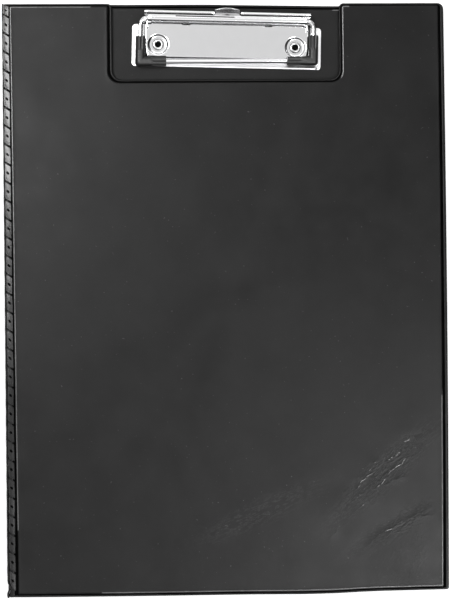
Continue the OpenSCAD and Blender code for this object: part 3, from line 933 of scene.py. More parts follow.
# %% Helper for sheets and plates
def pressed(name, corners, rings, material, top, bottom, extra=(), holes=(), place=None,
            spacing=3.0, shear=0.0, smooth=40, rims=None):
    """Closed sheet. rings are (inset, drop of the top face, rise of the bottom face)."""
    spans = span_counts(corners, spacing)
    rims = rims or [0.0] * len(corners)
    points, faces = [], []

    def add(flat, level):
        start = len(points)
        points.extend([x, y - shear * x, z] for (x, y), z in zip(flat, level))
        return start

    tops, bottoms = [], []
    for inset, drop, rise in rings:
        flat = outline(corners, [inset + rim for rim in rims], spans)
        tops.append(add(flat, top(flat) - drop))
        bottoms.append(add(flat, bottom(flat) + rise))
    n = len(flat)
    for k in range(len(rings) - 1):
        faces += ring_faces(tops[k], tops[k + 1], n) + ring_faces(bottoms[k + 1], bottoms[k], n)
    faces += ring_faces(bottoms[0], tops[0], n)
    flat, triangles = fill(flat, np.asarray(extra, float).reshape(-1, 2), holes)
    upper = add(flat[n:], top(flat[n:])) - n if len(flat) > n else 0
    lower = add(flat[n:], bottom(flat[n:])) - n if len(flat) > n else 0
    for t in triangles:
        faces.append([tops[-1] + i if i < n else upper + i for i in t])
        faces.append([bottoms[-1] + i if i < n else lower + i for i in t][::-1])
    offset = n
    for hole in holes:
        faces += ring_faces(upper + offset, lower + offset, len(hole))
        offset += len(hole)
    if place is not None:
        points = place(np.array(points, float))
    return piece(name, points, faces, material, smooth)


def level(z):
    """Flat face at height z."""
    return lambda flat: np.full(len(flat), float(z))


print("helper for sheets and plates")

# %% Cards in the panels
card_gap = 0.05


def panel_card(name, corners, rims, mid, holes, body, node):
    """Stiff card inside a panel's films, cut by their outline."""
    made = pressed(
        name, corners, [(film_t + 0.05, 0.12, 0.12), (film_t + 0.17, 0.0, 0.0)], card,
        level(mid + board_half - card_gap), level(mid - board_half + card_gap), (), holes,
        lambda points: np.column_stack([as_laid(points[:, :2], mid), points[:, 2]]),
        smooth=30, rims=rims)
    dress(made, body, "greyboard", node)


panel_card("cover_card", cover_corners, cover_rims, cover_mid, (), "cover", "cover_board")
panel_card("back_card", back_corners, back_rims, back_mid, rivet_holes(2.4), "back_panel",
           "back_board")

# %% [markdown]
# Inside the cover lies a flat pocket for papers. It is a clear-cut sheet of the same film with
# a slanting mouth, welded along its three other sides, so the weld line is pressed into it and
# the mouth has a thin turned edge.

# %% Pocket inside the cover
pocket_left, pocket_right, pocket_low = -110.3, 112.9, -153.3
pocket_corners = [
    (pocket_left, pocket_low, 1.0), (pocket_right, pocket_low, 1.0),
    (pocket_right, pocket_low + 90, 1.0), (pocket_left, pocket_low + 149.6, 1.0),
]
pocket_under = cover_mid - panel_half


def pocket_face(flat):
    """Lower face of the pocket, with a weld line pressed in near its edges."""
    x, y = flat[:, 0], flat[:, 1]
    side = np.minimum(np.minimum(x - pocket_left, pocket_right - x), y - pocket_low)
    weld = np.exp(-((side - 1.3) / 0.35) ** 2)
    return np.full(len(flat), pocket_under - 0.30) + 0.16 * weld


pocket = pressed(
    "pocket_film", pocket_corners,
    [(0.0, 0.05, 0.18), (0.12, 0.0, 0.04), (0.5, 0.0, 0.0), (1.0, 0, 0), (1.3, 0, 0),
     (1.6, 0, 0), (2.2, 0, 0)],
    film_inside, level(pocket_under - 0.02), pocket_face, spacing=6,
)
dress(pocket, "cover", "pvc_inside", "cover_pocket")

# %% [markdown]
# The spine's outer film stands between the two creases. A cord-like bead runs along each
# crease, and both beads are part of the film, so one cross-section swept down the folder's
# height makes the whole piece. The edge is very slightly scalloped by the weld's pads.

# %% Spine film
pad_pitch = 9.7
pad_count = 32


def spine_section():
    """Cross-section of the spine's film, anticlockwise, as x and z."""
    return np.array(arc((crease_x, cover_mid), bead_r, -90, 225.6, 22)
                    + arc((crease_x, back_mid), bead_r, 134.4, 450, 22))


def sweep_along_y(name, section, rows, material):
    """Closed bar of one section, drawn at every y in rows."""
    n, points, faces = len(section), [], []
    for y in rows:
        flat = np.column_stack([section[:, 0], np.full(n, y)])
        scallop = 0.05 * math.cos(2 * math.pi * y / pad_pitch)
        points += [(x + scallop, y, z) for (x, _), z in zip(pinch(flat), section[:, 1])]
    for r in range(len(rows) - 1):
        faces += ring_faces((r + 1) * n, r * n, n)
    faces.append(list(range(n)))
    faces.append([(len(rows) - 1) * n + i for i in range(n)][::-1])
    return piece(name, points, faces, material, 45)


spine_rows = np.concatenate([
    np.linspace(-top_y, -144, 26), np.arange(-143, top_y - 1, 1.6), [top_y - 0.4, top_y]])
spine_film = sweep_along_y("spine_film_outside", spine_section(), spine_rows, film_outside)
dress(spine_film, "spine", "pvc_outside", "spine_outer_film")

# %% [markdown]
# Geometry Nodes are the natural tool for anything that repeats. The first tree below sets
# copies of one shape in a straight row, and can roll the copies more and more from the first
# to the last and shake each one a little with a fixed seed. The second tree draws a round wire
# along a path. Both end in Realize Instances and Set Material, and settle() then turns the
# result into a plain mesh.

# %% Node trees for rows and wires
def start_tree(name, **sockets):
    """Node group with the given inputs, the function that adds its nodes, and what is given."""
    tree = bpy.data.node_groups.new(name, "GeometryNodeTree")
    new_socket = tree.interface.new_socket
    new_socket("Geometry", in_out="INPUT", socket_type="NodeSocketGeometry")
    for label, kind in sockets.items():
        new_socket(label.replace("_", " "), in_out="INPUT", socket_type="NodeSocket" + kind)
    new_socket("Geometry", in_out="OUTPUT", socket_type="NodeSocketGeometry")
    add = builder(tree)
    return tree, add, add("NodeGroupInput").outputs


def end_tree(add, shape, material):
    """Real copies, then the finish."""
    real = add("GeometryNodeRealizeInstances", [shape])
    add("NodeGroupOutput", [
        add("GeometryNodeSetMaterial", {"Geometry": real, "Material": material})])


def row_tree():
    """Copies in a straight row, each one rolled about Y and shaken a little."""
    tree, add, given = start_tree(
        "row_of_copies", Count="Int", First="Vector", Step="Vector", Roll_first="Float",
        Roll_last="Float", Shake="Float", Seed="Int", Material="Material")
    line = add("GeometryNodeMeshLine", {
        "Count": given["Count"], "Start Location": given["First"], "Offset": given["Step"]})
    last = add("ShaderNodeMath", [given["Count"], 1], operation="SUBTRACT")
    roll = add("ShaderNodeMapRange", {
        "Value": add("GeometryNodeInputIndex"), "From Max": last,
        "To Min": given["Roll first"], "To Max": given["Roll last"]})
    shake = add("FunctionNodeRandomValue", {
        "Min": (-1, -1, -1), "Max": (1, 1, 1), "Seed": given["Seed"]}, data_type="FLOAT_VECTOR")
    amount = add("ShaderNodeVectorMath", {0: shake, "Scale": given["Shake"]}, operation="SCALE")
    turn = add("ShaderNodeVectorMath", [add("ShaderNodeCombineXYZ", {"Y": roll}), amount])
    copies = add("GeometryNodeInstanceOnPoints", {
        "Points": line, "Instance": given["Geometry"], "Rotation": turn})
    end_tree(add, copies, given["Material"])
    return tree


def wire_tree():
    """Round wire with closed ends, along a line of edges."""
    tree, add, given = start_tree(
        "wire_along_path", Wire_radius="Float", Sides="Int", Material="Material")
    path = add("GeometryNodeMeshToCurve", {"Mesh": given["Geometry"]})
    ring = add("GeometryNodeCurvePrimitiveCircle", {
        "Radius": given["Wire radius"], "Resolution": given["Sides"]})
    tube = add("GeometryNodeCurveToMesh", {
        "Curve": path, "Profile Curve": ring, "Fill Caps": True})
    end_tree(add, add("GeometryNodeSetShadeSmooth", {"Geometry": tube}), given["Material"])
    return tree


def grow(obj, tree, **values):
    """Runs a node tree on obj with the given inputs, and settles the result."""
    modifier = obj.modifiers.new(tree.name, "NODES")
    modifier.node_group = tree
    sockets = {s.name: s.identifier for s in tree.interface.items_tree if s.in_out == "INPUT"}
    for label, value in values.items():
        modifier[sockets[label.replace("_", " ")]] = value
    return settle(obj)


row_of_copies, wire_along_path = row_tree(), wire_tree()


def wire(name, path, radius, sides, material):
    """Round wire along a path in millimetres, with flat closed ends."""
    edges = [(i, i + 1) for i in range(len(path) - 1)]
    mesh = bpy.data.meshes.new(name)
    mesh.from_pydata((np.asarray(path, float) * MM).tolist(), edges, [])
    made = grow(in_scene(name, mesh), wire_along_path, Wire_radius=radius * MM, Sides=sides,
                Material=material)
    made.data.set_sharp_from_angle(angle=math.radians(50))
    return made


print("two node trees")

# %% [markdown]
# The spine's weld is a row of soft pads, like the twists of a rope. Each pad is a slanting
# cushion with a small round pinhole, where the electrode held the film, and the pinhole's floor
# is painted dark as painted shade. One pad is drawn with the sheet helper, with its ends sheared,
# and the row tree repeats it down the rim. The pads are painted darker and less shiny towards
# the foot, in three finishes, as painted shade.

# %% Weld pads along the spine
pad_half_w, pad_half_l, pad_shear = 1.66, 4.52, 0.66
pad_row_x, pad_top_y, pad_rise = -114.05, 154.2, 0.13
pad_end_y, pad_end_squeeze = 149.6, 0.55
pinhole_r, pinhole_at, pinhole_sides = 0.78, (-0.05, 0.0), 14
duller_from = [10, 20]


def pad_face(flat):
    """Cushion that falls towards its sides."""
    across = np.abs(flat[:, 0]) / pad_half_w
    lengthwise = np.abs(flat[:, 1]) / pad_half_l
    return 0.44 * (1 - 0.35 * across ** 3) * (1 - 0.25 * lengthwise ** 4)


def pad_top(flat):
    """The cushion, with its outermost edge pulled down to the film."""
    from_edge = np.minimum(pad_half_w - np.abs(flat[:, 0]), pad_half_l - np.abs(flat[:, 1]))
    return pad_face(flat) * np.clip(from_edge / 0.16, 0.15, 1)


pad_corners = [(x * pad_half_w, y * pad_half_l, 0.7)
               for x, y in ((-1, -1), (1, -1), (1, 1), (-1, 1))]
pad_grid = [p for p in grid(0.5, (-1.0, -3.7), (1.0, 3.7))
            if np.hypot(p[0] - pinhole_at[0], p[1]) > 1.15]
pad = pressed(
    "spine_weld_pads", pad_corners,
    [(0.0, 0.0, 0.0), (0.06, -0.06, 0.0), (0.16, -0.08, 0.0), (0.30, -0.02, 0.0), (0.5, 0.0, 0.0)],
    film_melted, pad_top, level(-0.05),
    np.concatenate([pad_grid, ring_points(1.0, pinhole_sides, pinhole_at)]),
    [ring_points(pinhole_r, pinhole_sides, pinhole_at)], spacing=1.0, shear=pad_shear, smooth=60)
# The disc at each pinhole's floor is painted near black, as painted shade.
disc = ring_points(pinhole_r - 0.01, pinhole_sides, pinhole_at)
burnt = piece(
    "burnt_disc", [(x, y, z) for z in (-0.04, 0.07) for x, y in disc],
    ring_faces(0, pinhole_sides, pinhole_sides) + [
        list(range(pinhole_sides))[::-1], list(range(pinhole_sides, 2 * pinhole_sides))],
    film_burnt)
pad_faces = len(pad.data.polygons)
pad = together("spine_weld_pads", [pad, burnt])
one_pad = len(pad.data.polygons)
print("a pad has", one_pad, "faces")

# %% Row of weld pads
pads = grow(
    pad, row_of_copies, Count=pad_count,
    First=(pad_row_x * MM, pad_top_y * MM, (cover_mid + film_t + pad_rise) * MM),
    Step=(0.0, -pad_pitch * MM, 0.0), Roll_first=math.radians(-11), Roll_last=math.radians(7),
    Shake=math.radians(1.6), Seed=7, Material=film_melted,
)
fitted = np.array([v.co for v in pads.data.vertices]) / MM
fitted[:, 0] += -0.35 * fitted[:, 1] / top_y + 0.1
top_end = fitted[:, 1] > pad_end_y
fitted[top_end, 1] = pad_end_y + pad_end_squeeze * (fitted[top_end, 1] - pad_end_y)
fitted[:, :2] = pinch(fitted[:, :2])
pads.data.vertices.foreach_set("co", (fitted * MM).ravel())
pads.data.update()
# Painted shade: pads further down are darker, and the pinhole discs are near black.
pad_number, in_pad = np.divmod(np.arange(len(pads.data.polygons)), one_pad)
dullness = np.searchsorted(duller_from, pad_number, side="right")
paint(pads, (film_melted_half, film_melted_dull, film_burnt),
      np.where(in_pad >= pad_faces, 3, dullness))
print(pad_number[-1] + 1, "pads")
dress(pads, "cover", "pvc_outside")

# %% [markdown]
# Everything on the clip is drawn in the clip's own directions: u along it, v towards the top
# edge and z up. The clip is riveted about a degree and a half askew, as they often are.

# %% Helpers for the clip
def on_clip(points):
    """Turns u, v, z into the folder's x, y, z."""
    points = np.asarray(points, float)
    x, y = clip_xy(points[:, 0], points[:, 1])
    return np.stack([x, y, points[:, 2]], 1)


def ease(t):
    """Smooth step from 0 to 1."""
    t = np.clip(t, 0, 1)
    return t * t * (3 - 2 * t)


def plate(name, loop, holes, low, high, material, bevel, across=False):
    """Flat plate between two levels: lying in u and v, or standing across the clip."""
    loop = np.asarray(loop, float)
    flat, triangles = fill(loop, (), holes)
    n = len(flat)
    points = [(at, a, b) if across else (a, b, at) for at in (low, high) for a, b in flat]
    faces = [t[::-1] for t in triangles] + [[i + n for i in t] for t in triangles]
    faces += ring_faces(0, n, len(loop))
    start = len(loop)
    for hole in holes:
        faces += ring_faces(start + n, start, len(hole), 2)
        start += len(hole)
    return soften(piece(name, on_clip(points), faces, material, 35), bevel)


def stadium(v0, z0, r0, v1, z1, r1, steps=14):
    """Outline around two circles, anticlockwise."""
    way = math.atan2(z1 - z0, v1 - v0)
    lean_in = math.acos((r0 - r1) / math.hypot(v1 - v0, z1 - z0))
    first = np.linspace(way + lean_in, way + 2 * math.pi - lean_in, steps)
    second = np.linspace(way - lean_in, way + lean_in, steps)
    return np.array([(v0 + r0 * math.cos(a), z0 + r0 * math.sin(a)) for a in first]
                    + [(v1 + r1 * math.cos(a), z1 + r1 * math.sin(a)) for a in second])


def lathe(name, profile, place, material, sides=40, smooth=40):
    """Turned piece; profile is a closed loop of radius and height."""
    points, faces, m = [], [], len(profile)
    for k in range(sides):
        turn = 2 * math.pi * k / sides
        points += [(r * math.cos(turn), r * math.sin(turn), h) for r, h in profile]
    for k in range(sides):
        for i in range(m):
            a, b = k * m + i, k * m + (i + 1) % m
            c, d = (k + 1) % sides * m + (i + 1) % m, (k + 1) % sides * m + i
            faces.append([a, d, c, b])
    return piece(name, place(np.array(points, float)), faces, material, smooth)


print("helpers for the clip")

# %% [markdown]
# The base plate is one pressing: a flat flange, a raised platform with sloping sides, a dished
# seat for each rivet, and a round lip along the front edge. A height for every point of the
# plan describes all of that, so the plate is drawn as a fine sheet whose two faces follow the
# same height. Two ears for the hinge pin are bent up at its ends. The flange and the front have
# lost their polish, and a ring around each rivet is painted dark, as painted shade.

# %% Base plate
plate_top, plate_t, platform_rise = 3.5, 0.8, 0.9
dish_radii = [3.3, 4.1, 4.5, 4.8, 5.1, 5.4, 5.65, 5.95]
dish_rise = [0.0, 0.03, 0.14, 0.34, 0.62, 0.86, 0.97, 1.0]
dimples = [(-47.7, 8.6), (-47.9, -8.8), (47.7, 8.6), (47.9, -8.8)]


def platform_height(flat):
    """Rise of the platform with its two dished seats."""
    u, v = np.abs(flat[:, 0]), flat[:, 1]
    half = 44.0 - 1.2 * ease((rivet_v - v) / 7.2)
    rise = platform_rise * ease((half - u) / 1.1) * ease((v + 6.7) / 1.15)
    from_rivet = np.hypot(u - rivet_u, v - rivet_v)
    return rise * np.interp(from_rivet, dish_radii, dish_rise)


def plate_face(flat):
    """Upper face: platform, rolled front lip and four small pits."""
    u, v = flat[:, 0], flat[:, 1]
    lip = 0.62 * np.sqrt(np.clip(1 - ((v + 10.45) / 0.85) ** 2, 0, 1)) * ease(48 - np.abs(u))
    pits = sum(0.22 * np.exp(-((u - a) ** 2 + (v - b) ** 2) / 0.2) for a, b in dimples)
    return plate_top + platform_height(flat) + lip - pits


def plate_back(flat):
    """Lower face, which follows the platform."""
    return plate_top - plate_t + platform_height(flat)


plate_corners = [(-50, -11.2, 2.0), (50, -11.2, 2.0), (50, 11.2, 2.0), (-50, 11.2, 2.0)]
shank_r = 2.0
ring_radii = [2.4, 2.8, 3.1, 3.6, 4.1, 4.3, 4.5, 4.65, 4.8, 4.95, 5.1, 5.25, 5.4, 5.52, 5.65,
              5.95, 6.2]
seats = [(side * rivet_u, rivet_v) for side in (-1, 1)]
plate_points = grid(0.55, (-49.2, -10.6), (49.3, 10.7))
for seat in seats:
    plate_points = plate_points[np.hypot(*(plate_points - seat).T) > shank_r + 4.4]
plate_points = np.concatenate(
    [plate_points] + [ring_points(r, 56, seat) for seat in seats for r in ring_radii])
corner_clear = np.abs(plate_points[:, 0]) + np.abs(plate_points[:, 1]) < 59.2


def plate_place(points):
    """The platform's rear edge reaches in under the lever, except where the springs are."""
    moved = points.copy()
    u, v = np.abs(points[:, 0]), points[:, 1]
    between = ease((40.4 - u) / 0.6) * (1 - ease((u - 19.3) / 0.3) * ease((23.9 - u) / 0.3))
    moved[:, 1] += 0.55 * between * ease((v - 9.6) / 1.2)
    return on_clip(moved)


base = pressed(
    "clip_base", plate_corners,
    [(0.0, 0.36, 0.36), (0.07, 0.12, 0.12), (0.2, 0.02, 0.02), (0.4, 0, 0)],
    chrome, plate_face, plate_back, plate_points[corner_clear],
    [ring_points(shank_r, 36, seat) for seat in seats], plate_place, 0.6,
)
print("base plate with", len(base.data.vertices), "points")

# %% Ears, guides, dull places and painted shade of the base plate
pivot_v, pivot_z, pin_r = 12.9, 4.6, 1.0
ear_u, guide_u, ear_half_t = 42.1, 7.2, 0.4
polished_half_u, polished_from_v, dirty_ring_r, dirty_bore_r = 43.9, -8.3, 2.98, 1.53
parts = [base]
for side in (-1, 1):
    parts.append(plate(
        "ear", stadium(10.2, 4.4, 1.7, pivot_v, pivot_z, 1.6),
        [ring_points(pin_r + 0.01, 20, (pivot_v, pivot_z))],
        side * ear_u - ear_half_t, side * ear_u + ear_half_t, chrome, 0.12, across=True))
for side in (-1, 1):
    parts.append(plate(
        "guide", [(9.9, 2.8), (11.1, 2.8), (11.1, 3.7), (9.9, 3.7)], [],
        side * guide_u - ear_half_t, side * guide_u + ear_half_t, chrome, 0.1, across=True))
base = together("clip_base", parts)


def face_places(obj):
    """Distance of each face of obj from the clip's middle, its v, and its distance to a rivet."""
    flat = np.array([face.center for face in obj.data.polygons])[:, :2] / MM - (clip_x, clip_y)
    cosine, sine = math.cos(clip_turn), math.sin(clip_turn)
    u, v = (flat @ np.array([[cosine, -sine], [sine, cosine]])).T
    return np.abs(u), v, np.hypot(np.abs(u) - rivet_u, v - rivet_v)


from_middle, face_v, from_rivet = face_places(base)
on_flange = (from_middle > polished_half_u) | (face_v < polished_from_v)
# The ring around each rivet gets the dark finish, as painted shade.
paint(base, (chrome_satin, dirt), np.where(from_rivet < dirty_ring_r, 2, on_flange))
dress(base, "back_panel", "chrome", "clip_base_plate")

# %% [markdown]
# A tubular rivet is a turned part: a rolled head, a hollow shank, and a tail that is rolled
# over a washer on the back. The profile is spun once, and the row tree sets the copies.

# %% Rivets and washers
rivet_profile = (
    [(1.62, 0.02), (2.5, 0.02), (2.6, 0.12), (2.5, 0.29), (1.99, 0.3), (1.99, 3.5), (2.55, 3.5)]
    + arc((2.12, 3.68), 0.62, 0, 100, 9) + arc((1.98, 3.82), 0.47, 100, 175, 6)
    + [(1.5, 3.6), (1.5, 2.0), (1.5, 0.2)]
)
washer_profile = [(2.02, 0.32), (2.6, 0.32), (2.6, 0.02), (4.3, 0.02), (4.48, 0.1), (4.48, 0.5),
                  (4.38, 0.58), (2.02, 0.58)]


def pair_of(name, profile, material):
    """One turned part at each rivet."""
    one = lathe(name, profile[::-1], lambda p: p, material)
    first, second = (clip_xy(side * rivet_u, rivet_v) for side in (-1, 1))
    return grow(
        one, row_of_copies, Count=2, First=(first[0] * MM, first[1] * MM, 0.0),
        Step=((second[0] - first[0]) * MM, (second[1] - first[1]) * MM, 0.0),
        Roll_first=0.0, Roll_last=0.0, Shake=0.0, Seed=0, Material=material,
    )


rivet_pair = pair_of("rivets", rivet_profile, zinc)
# The rivets' bores are painted dark, as painted shade.
paint(rivet_pair, (dirt,), face_places(rivet_pair)[2] < dirty_bore_r)
dress(rivet_pair, "back_panel", "zinc", "rivets")
dress(pair_of("rivet_washers", washer_profile, zinc), "back_panel", "zinc", "rivet_washers")

# %% [markdown]
# The hinge pin is a plain rod with its ends riveted over into small domes. Two springs sit on
# it. Each is a coil with a straight leg at each end: one leg pushes on the base, the other on
# the lever. When the lever turns, the coil winds up.

# %% Pin and springs
def along_u(points):
    """Stands a turned piece's axis along the clip, at the pin."""
    return on_clip(np.stack([points[:, 2], pivot_v + points[:, 0], pivot_z + points[:, 1]], 1))


half_pin = 42.95
dome = [(0.001, half_pin), (0.6, half_pin), (0.98, half_pin - 0.1), (1.1, half_pin - 0.28),
        (1.1, half_pin - 0.44), (pin_r, half_pin - 0.45)]
pin = lathe("hinge_pin_rod", dome + [(r, -h) for r, h in dome[::-1]], along_u, zinc, 24)
dress(pin, "back_panel", "zinc", "hinge_pin")

spring_wire_r, spring_turns, spring_pitch, spring_from = 0.25, 5, 0.6, 20.0
spring_r = pin_r + spring_wire_r + 0.05


def spring(name, side):
    """Coil round the pin with two straight legs."""
    turn_end = 2 * math.pi * spring_turns + math.radians(61)
    turns = np.linspace(0, turn_end, 110)
    coil = [(spring_pitch * a / (2 * math.pi), spring_r * math.sin(a), -spring_r * math.cos(a))
            for a in turns]
    last = coil[-1]
    path = [(0, -5.0, -spring_r), (0, -2.0, -spring_r)] + coil + [
        (last[0], last[1] + 5.2 * math.cos(turn_end), last[2] + 5.2 * math.sin(turn_end))]
    placed = on_clip([(side * (spring_from + u), pivot_v + v, pivot_z + z) for u, v, z in path])
    made = wire(name, placed, spring_wire_r, 10, spring_steel)
    coil_end = spring_from + spring_pitch * turn_end / (2 * math.pi)
    start, end = on_clip([(side * spring_from, pivot_v, pivot_z),
                          (side * coil_end, pivot_v, pivot_z)]) * MM
    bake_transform(made)
    return made


for spring_name, side in (("spring_left", -1), ("spring_right", 1)):
    made = spring(spring_name, side)
    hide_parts("torsion_" + spring_name)
print("pin and two springs")

# %% [markdown]
# The press lever is one strip of sheet. Below, it wraps round the bail's wire; above, it rises
# as a tab whose edge is folded back into a hem. The strip is drawn as a grid that follows this
# line, a gap is left for the hanging hook, and Solidify gives it the sheet's thickness. The fold
# at the roll and the row beside the hem are painted dark, as painted shade.

# %% Press lever
roll_v, roll_z, sheet_t = 13.8, 8.05, 0.6
roll_mid_r = 1.3 + sheet_t / 2
hem_r, hem_centre = 0.42, (16.72, 10.85)
tab_rows = [(0.2, 0.0), (0.25, 0.0), (0.29, 0.0), (0.33, 0.12), (0.85, 0.12), (1.0, 0.0)]


def lever_line():
    """Middle line of the sheet in v and z, from under the wire to the hem."""
    line = arc((roll_v, roll_z), roll_mid_r, 292, 70, 22)
    bend_r, way_in, way_out = 0.7, -20.0, 23.2
    centre = np.array(line[-1]) + bend_r * left_of(unit(way_in))
    line += arc(centre, bend_r, way_in - 90, way_out - 90, 5)[1:]
    up = left_of(unit(way_out))
    start, hem_start = np.array(line[-1]), np.array(hem_centre) - hem_r * up
    for part, dip in tab_rows:
        line.append(tuple(start + part * (hem_start - start) - dip * up))
    flat_rows = len(line) - 1
    line += arc(hem_centre, hem_r, way_out - 90, way_out + 140, 12)[1:]
    return np.array(line), flat_rows


def press_lever():
    """The whole strip with its gap, its folds painted dark as painted shade, and its thickness."""
    line, flat_rows = lever_line()
    tab_half, roll_half, gap_half = 43.5, 41.5, 7.0
    columns = np.concatenate([
        [-tab_half], np.linspace(-roll_half, -gap_half, 18), [-3.6, 0, 3.6],
        np.linspace(gap_half, roll_half, 18), [tab_half]])
    tab_from = flat_rows - 5
    gap_from = flat_rows - 2
    # The bend at the roll and the row beside the hem are painted dark, as painted shade.
    bend_row, dirt_from_u, dirt_to_u = flat_rows - 8, -29, 3
    points = [(u, v, z) for v, z in line for u in columns]
    m, faces, dirty = len(columns), [], []
    for r in range(len(line) - 1):
        for c in range(m - 1):
            middle = abs(columns[c] + columns[c + 1]) / 2
            if middle > roll_half and r < tab_from:
                continue
            if middle < gap_half and r >= gap_from:
                continue
            faces.append([r * m + c, (r + 1) * m + c, (r + 1) * m + c + 1, r * m + c + 1])
            in_bend = bend_row <= r <= bend_row + 2 and dirt_from_u < columns[c] < dirt_to_u
            dirty.append(int(r == flat_rows - 2 or in_bend))
    used = sorted({i for f in faces for i in f})
    new = {old: k for k, old in enumerate(used)}
    strip = piece("press_lever", on_clip([points[i] for i in used]),
                  [[new[i] for i in f] for f in faces], chrome, 40)
    paint(strip, (dirt,), dirty)
    return soften(thicken(strip, sheet_t, even=True), 0.12, 50)


cheek_u, cheek_half_t = 41.0, 0.4
cheeks = [
    plate("cheek", stadium(pivot_v, pivot_z, 1.5, roll_v, roll_z, 1.8),
          [ring_points(pin_r + 0.05, 20, (pivot_v, pivot_z)),
           ring_points(1.3, 20, (roll_v, roll_z))],
          side * cheek_u - cheek_half_t, side * cheek_u + cheek_half_t, chrome, 0.1, across=True)
    for side in (-1, 1)
]
lever = together("press_lever", [press_lever()] + cheeks)
dress(lever, "clip_lever", "chrome", "lever_plate")

# %% [markdown]
# The bail is bent from one length of round wire. Its ends hide in the lever's roll, its legs
# run forward beside the base plate, and its front bar presses on the paper. The wire tree
# draws it along a path of straight runs and round bends.

# %% Bail wire
wire_r, leg_u, rear_bend, front_bend = 1.25, 45.5, 4.0, 2.0
front_v, front_z, front_skew = 7.9, 7.1, math.radians(1.5)
bail_reach = math.hypot(roll_v + front_v, roll_z - front_z)
bail_tilt = math.atan2(roll_z - front_z, roll_v + front_v)


def in_bail(points):
    """Turns the bail's own plane (u, reach, height above the plane) into the folder's x, y, z."""
    p = np.asarray(points, float)
    lower, up = math.cos(bail_tilt), math.sin(bail_tilt)
    v = roll_v + p[:, 1] * lower - p[:, 2] * up
    z = roll_z + p[:, 1] * up + p[:, 2] * lower
    return on_clip(np.stack([p[:, 0], v, z], 1))


def front_line(u):
    """The front bar slants: it is a little nearer the roll on the right."""
    return u * math.tan(front_skew) - bail_reach


def bail_path():
    """Middle line of the wire, from one hidden end round the front to the other."""
    path = [(u, 0.0) for u in (30.0, 34.0, 38.0)]
    path += arc((leg_u - rear_bend, -rear_bend), rear_bend, 90, 0, 12)
    skew = math.degrees(front_skew)
    for side in (1, -1):
        bend_at = side * (leg_u - front_bend)
        far = front_line(bend_at) + front_bend / math.cos(front_skew)
        legs = [(side * leg_u, y) for y in np.linspace(-rear_bend, far, 6)[1:-1]]
        if side > 0:
            path += legs + arc((bend_at, far), front_bend, 0, skew - 90, 10)
            path += [(u, front_line(u)) for u in np.linspace(36, -36, 9)]
        else:
            path += arc((bend_at, far), front_bend, skew - 90, -180, 10) + legs[::-1]
    path += arc((rear_bend - leg_u, -rear_bend), rear_bend, 180, 90, 12)
    path += [(-u, 0.0) for u in (38.0, 34.0, 30.0)]
    return [(u, y, 0.0) for u, y in path]


bail = wire("bail_wire", in_bail(bail_path()), wire_r, 28, chrome)
dress(bail, "clip_lever", "chrome", "wire_bail")

# %% [markdown]
# Each front corner of the bail wears a moulded sleeve. Its corner is a smooth block, and its
# two ends are ribbed lengthwise. Every line along the sleeve is an L with its own corner
# radius, small inside the bend and large outside, so the skin stays even all the way round.

# %% Corner sleeves
sleeve_r, bore_r, side_reach, front_reach = 2.65, 1.27, 13.2, 13.7
ribs, rib_from, run_rows, bend_rows = 12, 5.8, 24, 8


def bent_line(aside, bend, from_corner):
    """Points of an L beside the sleeve's middle line; from_corner are the distances sampled."""
    x, y = leg_u + aside, -bail_reach - aside
    side = [(x, -bail_reach + d) for d in from_corner[0][::-1]]
    turn = arc((x - bend, y + bend), bend, 0, -90, bend_rows)
    front = [(leg_u - d, y) for d in from_corner[1]]
    return side + turn + front


def slanted(u, y):
    """Shifts a point of a square corner to where the slanting front bar has it."""
    return y + u * math.tan(front_skew)


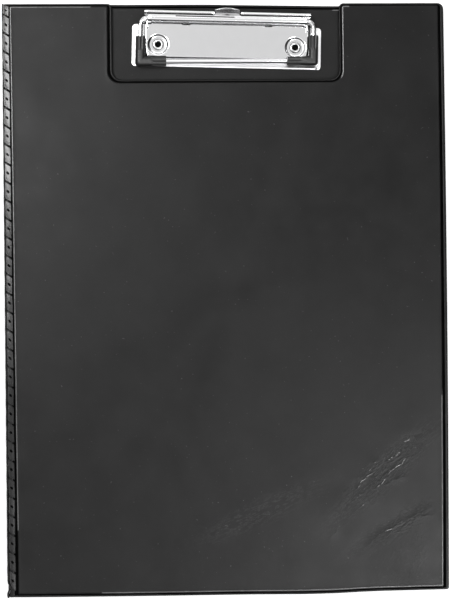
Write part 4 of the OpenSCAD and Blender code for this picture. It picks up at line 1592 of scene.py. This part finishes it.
def sleeve(name, side):
    """Sleeve on one corner: ribbed skin outside, a round bore inside, and two flat ends."""
    around = np.linspace(0, 2 * math.pi, ribs * 6, endpoint=False)
    distances = [np.linspace(3.2, reach, run_rows) for reach in (side_reach, front_reach)]
    count = run_rows + bend_rows + run_rows
    zone = np.concatenate([ease((distances[0][::-1] - rib_from) / 0.5), np.zeros(bend_rows),
                           ease((distances[1] - rib_from) / 0.5)])
    ends = np.concatenate([
        ease((side_reach + 0.01 - distances[0][::-1]) / 0.5), np.ones(bend_rows),
        ease((front_reach + 0.01 - distances[1]) / 0.5)])
    outer, inner = [], []
    for a in around:
        square = (abs(math.cos(a)) ** 2.7 + abs(math.sin(a)) ** 2.7) ** (-1 / 2.7)
        rib = (0.5 - 0.5 * math.cos(ribs * a)) ** 0.6
        radius = sleeve_r * min(square, 1.06) * (0.965 - 0.115 * zone * rib)
        radius *= 0.97 + 0.03 * ends
        if side > 0:
            radius[-run_rows:] *= 1 - 0.08 * ease((distances[1] - 3.2) / 2.5)
        aside, height = math.cos(a), math.sin(a)
        rows = []
        for k in range(count):
            out = radius[k] * aside
            x, y = bent_line(out, 0.35 + 0.6 * max(out, 0), distances)[k]
            rows.append((side * x, slanted(side * x, y), radius[k] * height))
        outer.append(rows)
        line = bent_line(bore_r * aside, front_bend + bore_r * aside, distances)
        inner.append([(side * x, slanted(side * x, y), bore_r * height) for x, y in line])
    m = len(around)
    points = [place for rows in outer + inner for place in rows]

    def at(layer, i, k):
        return layer * m * count + (i % m) * count + k

    faces = []
    for i in range(m):
        for k in range(count - 1):
            faces.append([at(0, i, k), at(0, i, k + 1), at(0, i + 1, k + 1), at(0, i + 1, k)])
            faces.append([at(1, i, k), at(1, i + 1, k), at(1, i + 1, k + 1), at(1, i, k + 1)])
        faces.append([at(0, i, 0), at(0, i + 1, 0), at(1, i + 1, 0), at(1, i, 0)])
        last = count - 1
        faces.append([at(0, i + 1, last), at(0, i, last), at(1, i, last), at(1, i + 1, last)])
    if side < 0:
        faces = [f[::-1] for f in faces]
    return piece(name, in_bail(points), [f[::-1] for f in faces], rubber, 50)


for sleeve_name, side in (("sleeve_left", -1), ("sleeve_right", 1)):
    made = sleeve(sleeve_name, side)
    dress(made, "clip_lever", "rubber", "corner_grip_" + sleeve_name[7:])

# %% [markdown]
# The hanging hook is a flat tongue that slides out from under the clip. Its outer end is
# cut round and bent up into a lip for the thumb, and a hole takes the nail. A cross bar at
# its inner end stops it against two guides under the base.

# %% Hanging hook
hook_z, hook_t, hook_half, bar_half = 2.85, 0.6, 6.6, 9.0
tip_v, tip_r, bend_v, lip_angle = 20.6, 20.0, 18.2, math.radians(45)


def tip_edge(u):
    """The hook's round outer end, at u."""
    return tip_v - tip_r + math.sqrt(tip_r ** 2 - u * u)


def sloped_lip():
    """The hook's outer end: a sheet that bends up and is cut round, drawn as a grid."""
    rows, count = [], 15
    for u in np.linspace(-hook_half, hook_half, count):
        far = tip_edge(u) - bend_v
        bend = [(bend_v - 0.7, 0.0), (bend_v - 0.35, 0.0), (bend_v - 0.05, 0.08),
                (bend_v + 0.25, 0.28)]
        rows.append([(u, v, hook_z + 0.3 + z) for v, z in bend + [
            (bend_v + k * far, k * far * math.tan(lip_angle)) for k in (0.4, 0.7, 0.9)]])
    m = len(rows[0])
    faces = [[c * m + r, c * m + r + 1, (c + 1) * m + r + 1, (c + 1) * m + r][::-1]
             for c in range(count - 1) for r in range(m - 1)]
    lip = piece("lip", on_clip([p for row in rows for p in row]), faces, hook_steel, 40)
    return soften(thicken(lip, hook_t), 0.1, 50)


bar_from, bar_to = -3.8, -2.2
tongue = plate(
    "hook", [(-bar_half, bar_from), (bar_half, bar_from), (bar_half, bar_to), (hook_half, bar_to),
             (hook_half, bend_v - 0.5), (-hook_half, bend_v - 0.5), (-hook_half, bar_to),
             (-bar_half, bar_to)],
    [ring_points(3.0, 32, (0.0, 14.3))], hook_z, hook_z + hook_t, hook_steel, 0.1)
hook = together("hook_tongue", [tongue, sloped_lip()])
dress(hook, "hook", "chrome", "hanging_hook")
